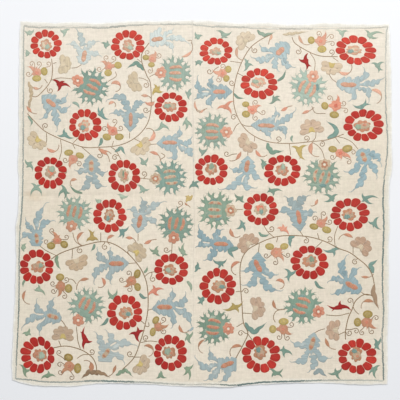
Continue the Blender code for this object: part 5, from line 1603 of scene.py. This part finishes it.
STEMS = [
    [(53, 63.8), (56.8, 62.5)], [(71.4, 68.2), (77, 67.4), (81.6, 64.6)], [(44.6, 79), (47.8, 83.5)],
    [(51, 80.4), (60, 78), (73.3, 79)], [(115.4, 71.4), (116, 76.5), (107.8, 81.6)], [(137, 58.7), (141.6, 62.5)],
    [(138.4, 77.8), (143, 78.6), (148, 81)], [(149.2, 77), (155, 74)], [(151, 102), (154.8, 102)],
    [(129.5, 138.6), (129.6, 132.4)], [(134, 138.6), (140.3, 141.8)], [(149.9, 144.4), (157, 144)],
    [(113.5, 141), (112.2, 146)], [(78.4, 137.8), (73.3, 142.9)], [(72.7, 144), (75.3, 149.2)],
    [(81.6, 146.9), (90.6, 154.6)], [(111, 147), (116, 151), (121.2, 159.6)], [(46.6, 133), (46.6, 141.6), (43.4, 146)],
    [(60.6, 139.5), (61.6, 150.5), (59.3, 159.6)], [(139, 178), (150.5, 179.2)], [(332.7, 57.6), (338.4, 61.6)],
    [(309.7, 52.6), (314.8, 61.2), (314.2, 72)], [(328.8, 74), (332, 79), (336.7, 82.6)], [(230, 61.2), (241.5, 63)],
    [(237.6, 73.3), (244, 76.5)], [(249, 48.4), (245.3, 46)], [(240.8, 123.7), (246, 126), (253.8, 126.3)],
    [(239.5, 123), (236, 126), (233.2, 131.4)], [(254.8, 136), (254.2, 141.6)], [(289.3, 143.6), (290.6, 155)],
    [(311.6, 142), (318, 146), (322.4, 151.8), (324.4, 159)], [(316, 131), (315.4, 137.8), (312.2, 141.4)],
    [(335.2, 137.4), (339.7, 143.5)], [(337.8, 136.6), (345, 138.6), (351.8, 142.2), (358.2, 149.4)],
    [(311.6, 105.9), (315.4, 112.9), (325.6, 113.5)], [(247.8, 151), (247.8, 155.8)], [(40, 246), (47, 251), (56, 255.4)],
    [(72.7, 232.5), (75.3, 240.8), (81.6, 246)], [(100.8, 232.5), (100.8, 241.8)], [(72.7, 249), (72, 258.7)],
    [(138.2, 233.6), (138, 241)], [(129.5, 254.6), (127.6, 251.6), (131, 250)], [(128.6, 263.5), (137, 262.8)],
    [(172.2, 242.7), (171.6, 254)], [(144.4, 277), (149, 273), (156.3, 271.4)], [(76.5, 284.2), (72.7, 279.7), (68.2, 279)],
    [(77, 284.8), (76.5, 290)], [(147.6, 310.3), (152.6, 308.9)], [(137.8, 318), (144.8, 324)],
    [(144.8, 325.9), (148.8, 326.3), (148.6, 322.4)], [(140.6, 342.6), (149, 341), (157.5, 341.6)],
    [(61.2, 319.9), (64, 323.4), (66.3, 327.6)], [(58.7, 340.3), (61.2, 346.7)],
    [(76.4, 326.3), (77.2, 334), (78, 341), (80.4, 348.8)], [(89, 354.4), (82.8, 354.8), (77, 358.4)], [(134, 357), (141.6, 356.9)],
    [(247.6, 333.6), (252.3, 340)], [(235.7, 291.8), (240.8, 291.2)], [(242.7, 313), (252.3, 313.8)],
    [(236.4, 326.9), (243.6, 322.6)], [(258.4, 252.3), (259.3, 243.6)], [(263.8, 225.5), (268, 232), (274, 237.2)],
    [(277.8, 237.2), (276.5, 242.4)], [(299.5, 230.6), (303.3, 236.2)], [(315.4, 247.8), (322.4, 241.2)],
    [(317.3, 233), (319.3, 239.8)], [(337.8, 226), (334.6, 235.7), (335, 246)], [(353, 244.6), (353, 254)],
    [(361, 292.3), (367, 295), (374.7, 294.4)], [(325.6, 314.8), (337.8, 315.6), (349.4, 313)],
    [(352.6, 306), (355, 310.7), (359, 314.4)], [(285.5, 309), (276.5, 311), (273.3, 317.3), (275.3, 322.4)],
    [(314.8, 332.8), (319, 330.4), (325, 328.6)], [(337, 335.4), (345.2, 331.6)], [(230.6, 209.6), (242.9, 209.6)],
    [(191, 43.6), (191.6, 40.6), (187.6, 40.8)], [(196, 109), (197.6, 111.6), (202, 112)],
    [(83, 79.8), (74.4, 79.2)], [(161, 153), (165, 156), (160.4, 159.6)],
]

# curls: the middle of each small spiral, beside the flowers and on the vines, all worked in brown
CURLS_BY_FLOWER = [
    (180.2, 203.2), (32, 64), (39, 64), (48.5, 64), (28.7, 74), (106.5, 58), (113.5, 58.5), (99.5, 69), (147.5, 52.5), (158.8, 55.5),
    (150, 71), (114.5, 121.5), (120.5, 128), (104.5, 129), (65.5, 160), (79, 164), (318.6, 33.8), (331.4, 37),
    (332, 44), (218.5, 79.7), (222.6, 66.4), (255.5, 102.7), (263, 112.2), (255.5, 118), (329.5, 98.2), (343.5, 103.3),
    (345.4, 111), (332.4, 157), (353, 152.4), (348.6, 162), (52.3, 230.6), (66.3, 237), (46.6, 241.5), (53, 283.5),
    (53.6, 291), (64.4, 296.3), (66.4, 279.6), (128.8, 273.3), (121.8, 279.7), (129.5, 289.3), (163.3, 319.3),
    (163.9, 331.4), (59.3, 352.4), (60, 364.5), (60.6, 372), (71.6, 377.4), (323.7, 214), (314.8, 218.5), (329.5, 221.7),
    (266.3, 255.5), (287.6, 254.8), (275.3, 262.5), (291.2, 324.4), (279, 337.1), (287.4, 337.8), (376, 317.9),
    (362, 332.7), (371.6, 331.4),
]
CURLS_BY_VINE = [
    (50.5, 90.5), (45.5, 126), (146, 85), (146, 110), (115, 157.5), (144, 174), (254.8, 50.4), (298.2, 51.7),
    (331.4, 52.3), (209.6, 71.4), (231.9, 82.9), (233.8, 117.3), (306.5, 138.4), (278.4, 139), (321.8, 144.1),
    (226.8, 153.7), (80, 250.4), (105, 247), (153, 279), (146, 337.8), (91.8, 351.8), (130, 353.7), (166.5, 249.7),
    (271.4, 228.7), (305.9, 240.8), (329.5, 238.9), (355, 261.9), (245.9, 291.2), (240.8, 333.3), (349.9, 300.8),
    (349.2, 332.7), (99.6, 155.6), (64.6, 171.4), (356, 331),
]


def curl(x, y, colour, towards, tone, radius=1.9):
    """A thin stalk that winds into a small spiral."""
    rnd = chance(x, y, 17)
    dx, dy = towards[0] - x, towards[1] - y
    far = math.hypot(dx, dy)
    hand = 1 if rnd.uniform() > 0.5 else -1
    start = math.atan2(dy, dx) + hand * 0.9
    turn = np.linspace(0, 1, 15)
    r = radius * (1.0 - 0.72 * turn)
    a = start + hand * turn * 2 * math.pi * 1.12
    spiral = np.stack([x + r * np.cos(a), y + r * np.sin(a)], -1)
    reach = min(max(far - radius, 0.8), 7.5)
    root = (x + dx / max(far, 1e-6) * (radius + reach), y + dy / max(far, 1e-6) * (radius + reach))
    half = ((root[0] + spiral[0, 0]) / 2 + hand * dy / max(far, 1) * 0.7, (root[1] + spiral[0, 1]) / 2 - hand * dx / max(far, 1) * 0.7)
    line(colour, [root, half] + [tuple(p) for p in spiral], width=2.5, high=0.3, tone=tone, step=0.42)


Edge = namedtuple("Edge", "at place")
LINE_LEFT = [Edge(25.8, 24.1), Edge(46, 23.7), Edge(78, 23.9), Edge(106, 23.6), Edge(142, 23.5), Edge(167, 23.2),
             Edge(190, 22.8), Edge(206, 22.2), Edge(218, 21.3), Edge(227, 20.5), Edge(240, 19.7), Edge(260, 19.3),
             Edge(287, 19.3), Edge(312, 18.9), Edge(330, 18.1), Edge(347, 17.3), Edge(365, 16.5), Edge(378.6, 15.9)]
LINE_RIGHT = [Edge(26.4, 387.4), Edge(34, 386.4), Edge(47, 385.6), Edge(86, 385.5), Edge(107, 385.7), Edge(142, 387.5),
              Edge(158, 386.5), Edge(170, 385), Edge(182, 383.7), Edge(198, 382.9), Edge(214, 383.5), Edge(227, 383.7),
              Edge(262, 382.6), Edge(287, 382.4), Edge(302, 383.1), Edge(318, 383.2), Edge(334, 382), Edge(347, 382.3),
              Edge(379.8, 383.6)]
LINE_TOP = [Edge(24.1, 25.8), Edge(32, 27.4), Edge(58, 27.7), Edge(87, 27.6), Edge(104, 28.1), Edge(113, 27.2), Edge(137, 25.1),
            Edge(160, 24.5), Edge(187, 24.4), Edge(200, 25.5), Edge(210, 26.6), Edge(237, 27.3), Edge(256, 28.2),
            Edge(287, 29), Edge(337, 28.5), Edge(360, 28.3), Edge(377, 27.8), Edge(387.4, 26.4)]
LINE_BOTTOM = [Edge(15.9, 378.6), Edge(28, 379.4), Edge(44, 381.4), Edge(68, 381.9), Edge(89, 380.8), Edge(108, 380.9),
               Edge(128, 381.5), Edge(148, 382.2), Edge(172, 383.8), Edge(188, 384.4), Edge(206, 383.7), Edge(220, 384.2),
               Edge(234, 385), Edge(248, 383.6), Edge(264, 382), Edge(288, 381.2), Edge(328, 380.1), Edge(368, 380),
               Edge(383.6, 380.6)]

# how the border line has faded from place to place: share faded
Wear = namedtuple("Wear", "at fade wide")
WEAR = {
    "left": [Wear(25, 0.78, 4.4), Wear(60, 0.78, 4.4), Wear(90, 0.62, 4.4), Wear(130, 0.66, 4.2), Wear(160, 0.62, 4.4),
             Wear(180, 0.62, 4.2), Wear(200, 0.36, 4.2), Wear(226, 0.4, 4.2), Wear(260, 0.34, 3.9), Wear(300, 0.28, 3.8),
             Wear(350, 0.38, 3.9), Wear(372, 0.66, 3.9)],
    "right": [Wear(25, 0.86, 4.4), Wear(60, 0.95, 4.2), Wear(85, 0.86, 4.4), Wear(110, 0.68, 4.2), Wear(130, 0.62, 3.8),
              Wear(154, 0.52, 4.0), Wear(178, 0.46, 4.0), Wear(202, 0.06, 5.2), Wear(226, 0.22, 5.2), Wear(250, 0.08, 5.0),
              Wear(274, 0.22, 4.8), Wear(298, 0.26, 4.4), Wear(346, 0.38, 4.8), Wear(376, 0.26, 4.6)],
    "top": [Wear(24, 0.95, 5.0), Wear(54, 0.86, 5.4), Wear(80, 0.96, 5.2), Wear(102, 0.86, 5.4), Wear(126, 0.84, 5.8),
            Wear(150, 0.98, 5.0), Wear(200, 0.88, 5.2), Wear(246, 0.92, 5.4), Wear(300, 1.08, 4.8), Wear(342, 1.3, 3.2), Wear(366, 1.15, 4.4)],
    "bottom": [Wear(16, 0.45, 4.6), Wear(70, 0.52, 4.2), Wear(94, 0.34, 5.2), Wear(118, 0.12, 6.0), Wear(130, 0.4, 5.0),
               Wear(142, 0.66, 4.8), Wear(166, 0.78, 5.0), Wear(190, 0.9, 4.0), Wear(214, 0.74, 3.8), Wear(232, 0.25, 4.6),
               Wear(262, 0.1, 5.8), Wear(290, 0.15, 5.2), Wear(310, 0.42, 4.8), Wear(334, 0.74, 4.4)],
}


def border():
    """The stitched line inside the hem, in short lengths of thread."""
    for name, table, upright in (("left", LINE_LEFT, True), ("right", LINE_RIGHT, True),
                                 ("top", LINE_TOP, False), ("bottom", LINE_BOTTOM, False)):
        low, high = table[0].at, table[-1].at
        cuts = np.arange(low, high, 17.0)
        cuts = np.append(cuts[:-1] if high - cuts[-1] < 6 else cuts, high)
        if not upright:
            row = table[len(table) // 2].place
            split = MIDDLE[0] + float(seam_x(float(to_mm(0, row)[1]))) / STEP
            cuts = np.sort(np.concatenate([cuts[np.abs(cuts - split) > 3], [split - 0.25, split + 0.25]]))
        for a, b in zip(cuts[:-1], cuts[1:]):
            if b - a < 1.0:
                continue
            at = np.linspace(a, b, max(3, int((b - a) / 0.62)))
            place = follow(table, "at", "place", at) + 0.16 * np.sin(at * 1.9 + 3 * np.sin(at * 0.37))
            place = place + (0.2 if name in ("right", "top") else 0.1) * np.sin(at * 0.55 + 2 * np.sin(at * 0.11))
            run = np.stack([place, at] if upright else [at, place], -1)
            wear = WEAR[name]
            middle = (a + b) / 2
            fade = float(follow(wear, "at", "fade", middle))
            wide = float(follow(wear, "at", "wide", middle))
            rnd = chance(a, b, 19)
            line("border_thread", run, width=wide, high=0.42, ready=True, hemmed=True,
                 tone=(min(1.0, fade - 0.08 + rnd.uniform(-0.08, 0.08)), rnd.uniform(0.0, 0.3) * max(0.0, 1 - fade)))


for row in ROSETTES:
    rosette(row)
for row in GREEN_PALMETTES:
    green_palmette(row)
for row in BLUE_PALMETTES:
    blue_palmette(row)
for row in FANS:
    fan(row)
for row in FLOWERS:
    flower(row)
for row in SPRIGS:
    sprig(row)
for row in LEAVES:
    comma(row)
for run in VINES:
    depth = np.clip((np.mean([p[1] for p in run]) - 40) / 300, 0, 1)
    line("silk_brown", run, width=2.6 + 0.4 * depth, high=0.42, tone=(0.5 - 0.5 * depth, 0.2 + 0.4 * depth))
for run in STEMS:
    depth = np.clip((np.mean([p[1] for p in run]) - 40) / 300, 0, 1)
    line("silk_brown", run, width=2.1 + 0.3 * depth, high=0.36, tone=(0.5 - 0.5 * depth, 0.2 + 0.4 * depth), step=0.6)
flower_spots = [(f.x, f.y) for f in FLOWERS]
vine_spots = [tuple(p) for run in VINES + STEMS for p in smooth_line(run, 1.5)]
for x, y in CURLS_BY_FLOWER:
    depth = np.clip((y - 40) / 300, 0, 1)
    curl(x, y, "silk_brown", away(x, y, flower_spots), (float(np.clip(0.85 - 1.2 * depth, 0.0, 1)), 0.0), 2.75)
for x, y in CURLS_BY_VINE:
    depth = np.clip((y - 40) / 300, 0, 1)
    curl(x, y, "silk_brown", away(x, y, vine_spots), (0.45 - 0.45 * depth, 0.1 + 0.3 * depth), 2.9)
border()


# ---------------------------------------------------------------------------
# one object for each colour and loom width
# ---------------------------------------------------------------------------
def bake_layout(obj, gathered):
    """Lay the tops of all patches side by side on one square, in rows."""
    verts = np.concatenate(gathered.verts)
    tris = np.concatenate(gathered.tris)
    boxes = []
    for first, count, tri_first, tri_count, top_count in gathered.charts:
        p = verts[first:first + count, :2]
        lo, hi = p.min(0), p.max(0)
        turn = (hi - lo)[1] > (hi - lo)[0]
        size = (hi - lo)[::-1] if turn else (hi - lo)
        boxes.append((float(size[1]), float(size[0]), first, count, tri_first, tri_count, top_count, lo, turn))
    boxes.sort(key=lambda b: -b[0])
    gap = 1.5
    total = sum((b[0] + gap) * (b[1] + gap) for b in boxes)
    side = max(math.sqrt(total) * 1.03, max(b[1] for b in boxes) + gap)
    while True:
        x = y = row = 0.0
        places = []
        for b in boxes:
            if x + b[1] + gap > side:
                x, y, row = 0.0, y + row, 0.0
            places.append((x, y))
            x += b[1] + gap
            row = max(row, b[0] + gap)
        if y + row <= side * 0.985:
            break
        side *= 1.02
    uv = np.zeros((len(tris), 3, 2))
    for (x, y), b in zip(places, boxes):
        _, _, first, count, tri_first, tri_count, top_count, lo, turn = b
        p = verts[first:first + count, :2] - lo
        if turn:
            p = p[:, ::-1]
        flat = (p + (x + gap / 2, y + gap / 2)) / side
        block = tris[tri_first:tri_first + tri_count] - first
        uv[tri_first:tri_first + tri_count] = flat[block]
    layout = obj.data.uv_layers.new(name="OFBake")
    layout.data.foreach_set("uv", uv.reshape(-1, 2).ravel())


pieces = {}
for (colour, side), gathered in sorted(SKEINS.items()):
    obj = mesh_of(f"{colour}_{side}", np.concatenate(gathered.verts), [np.concatenate(gathered.tris)],
                  {"stitch": np.concatenate(gathered.stitch), "tone": np.concatenate(gathered.tone)})
    if len(obj.data.polygons) == sum(len(t) for t in gathered.tris):
        bake_layout(obj, gathered)
    obj.data.materials.append(SILKS[colour])
    pieces[(colour, side)] = obj
    print("piece", obj.name, len(obj.data.polygons), "triangles")

for obj in (panel_left, panel_right):
    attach(obj, "root")
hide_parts("panel_left")
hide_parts("panel_right")
for (colour, side), obj in pieces.items():
    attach(obj, "root")
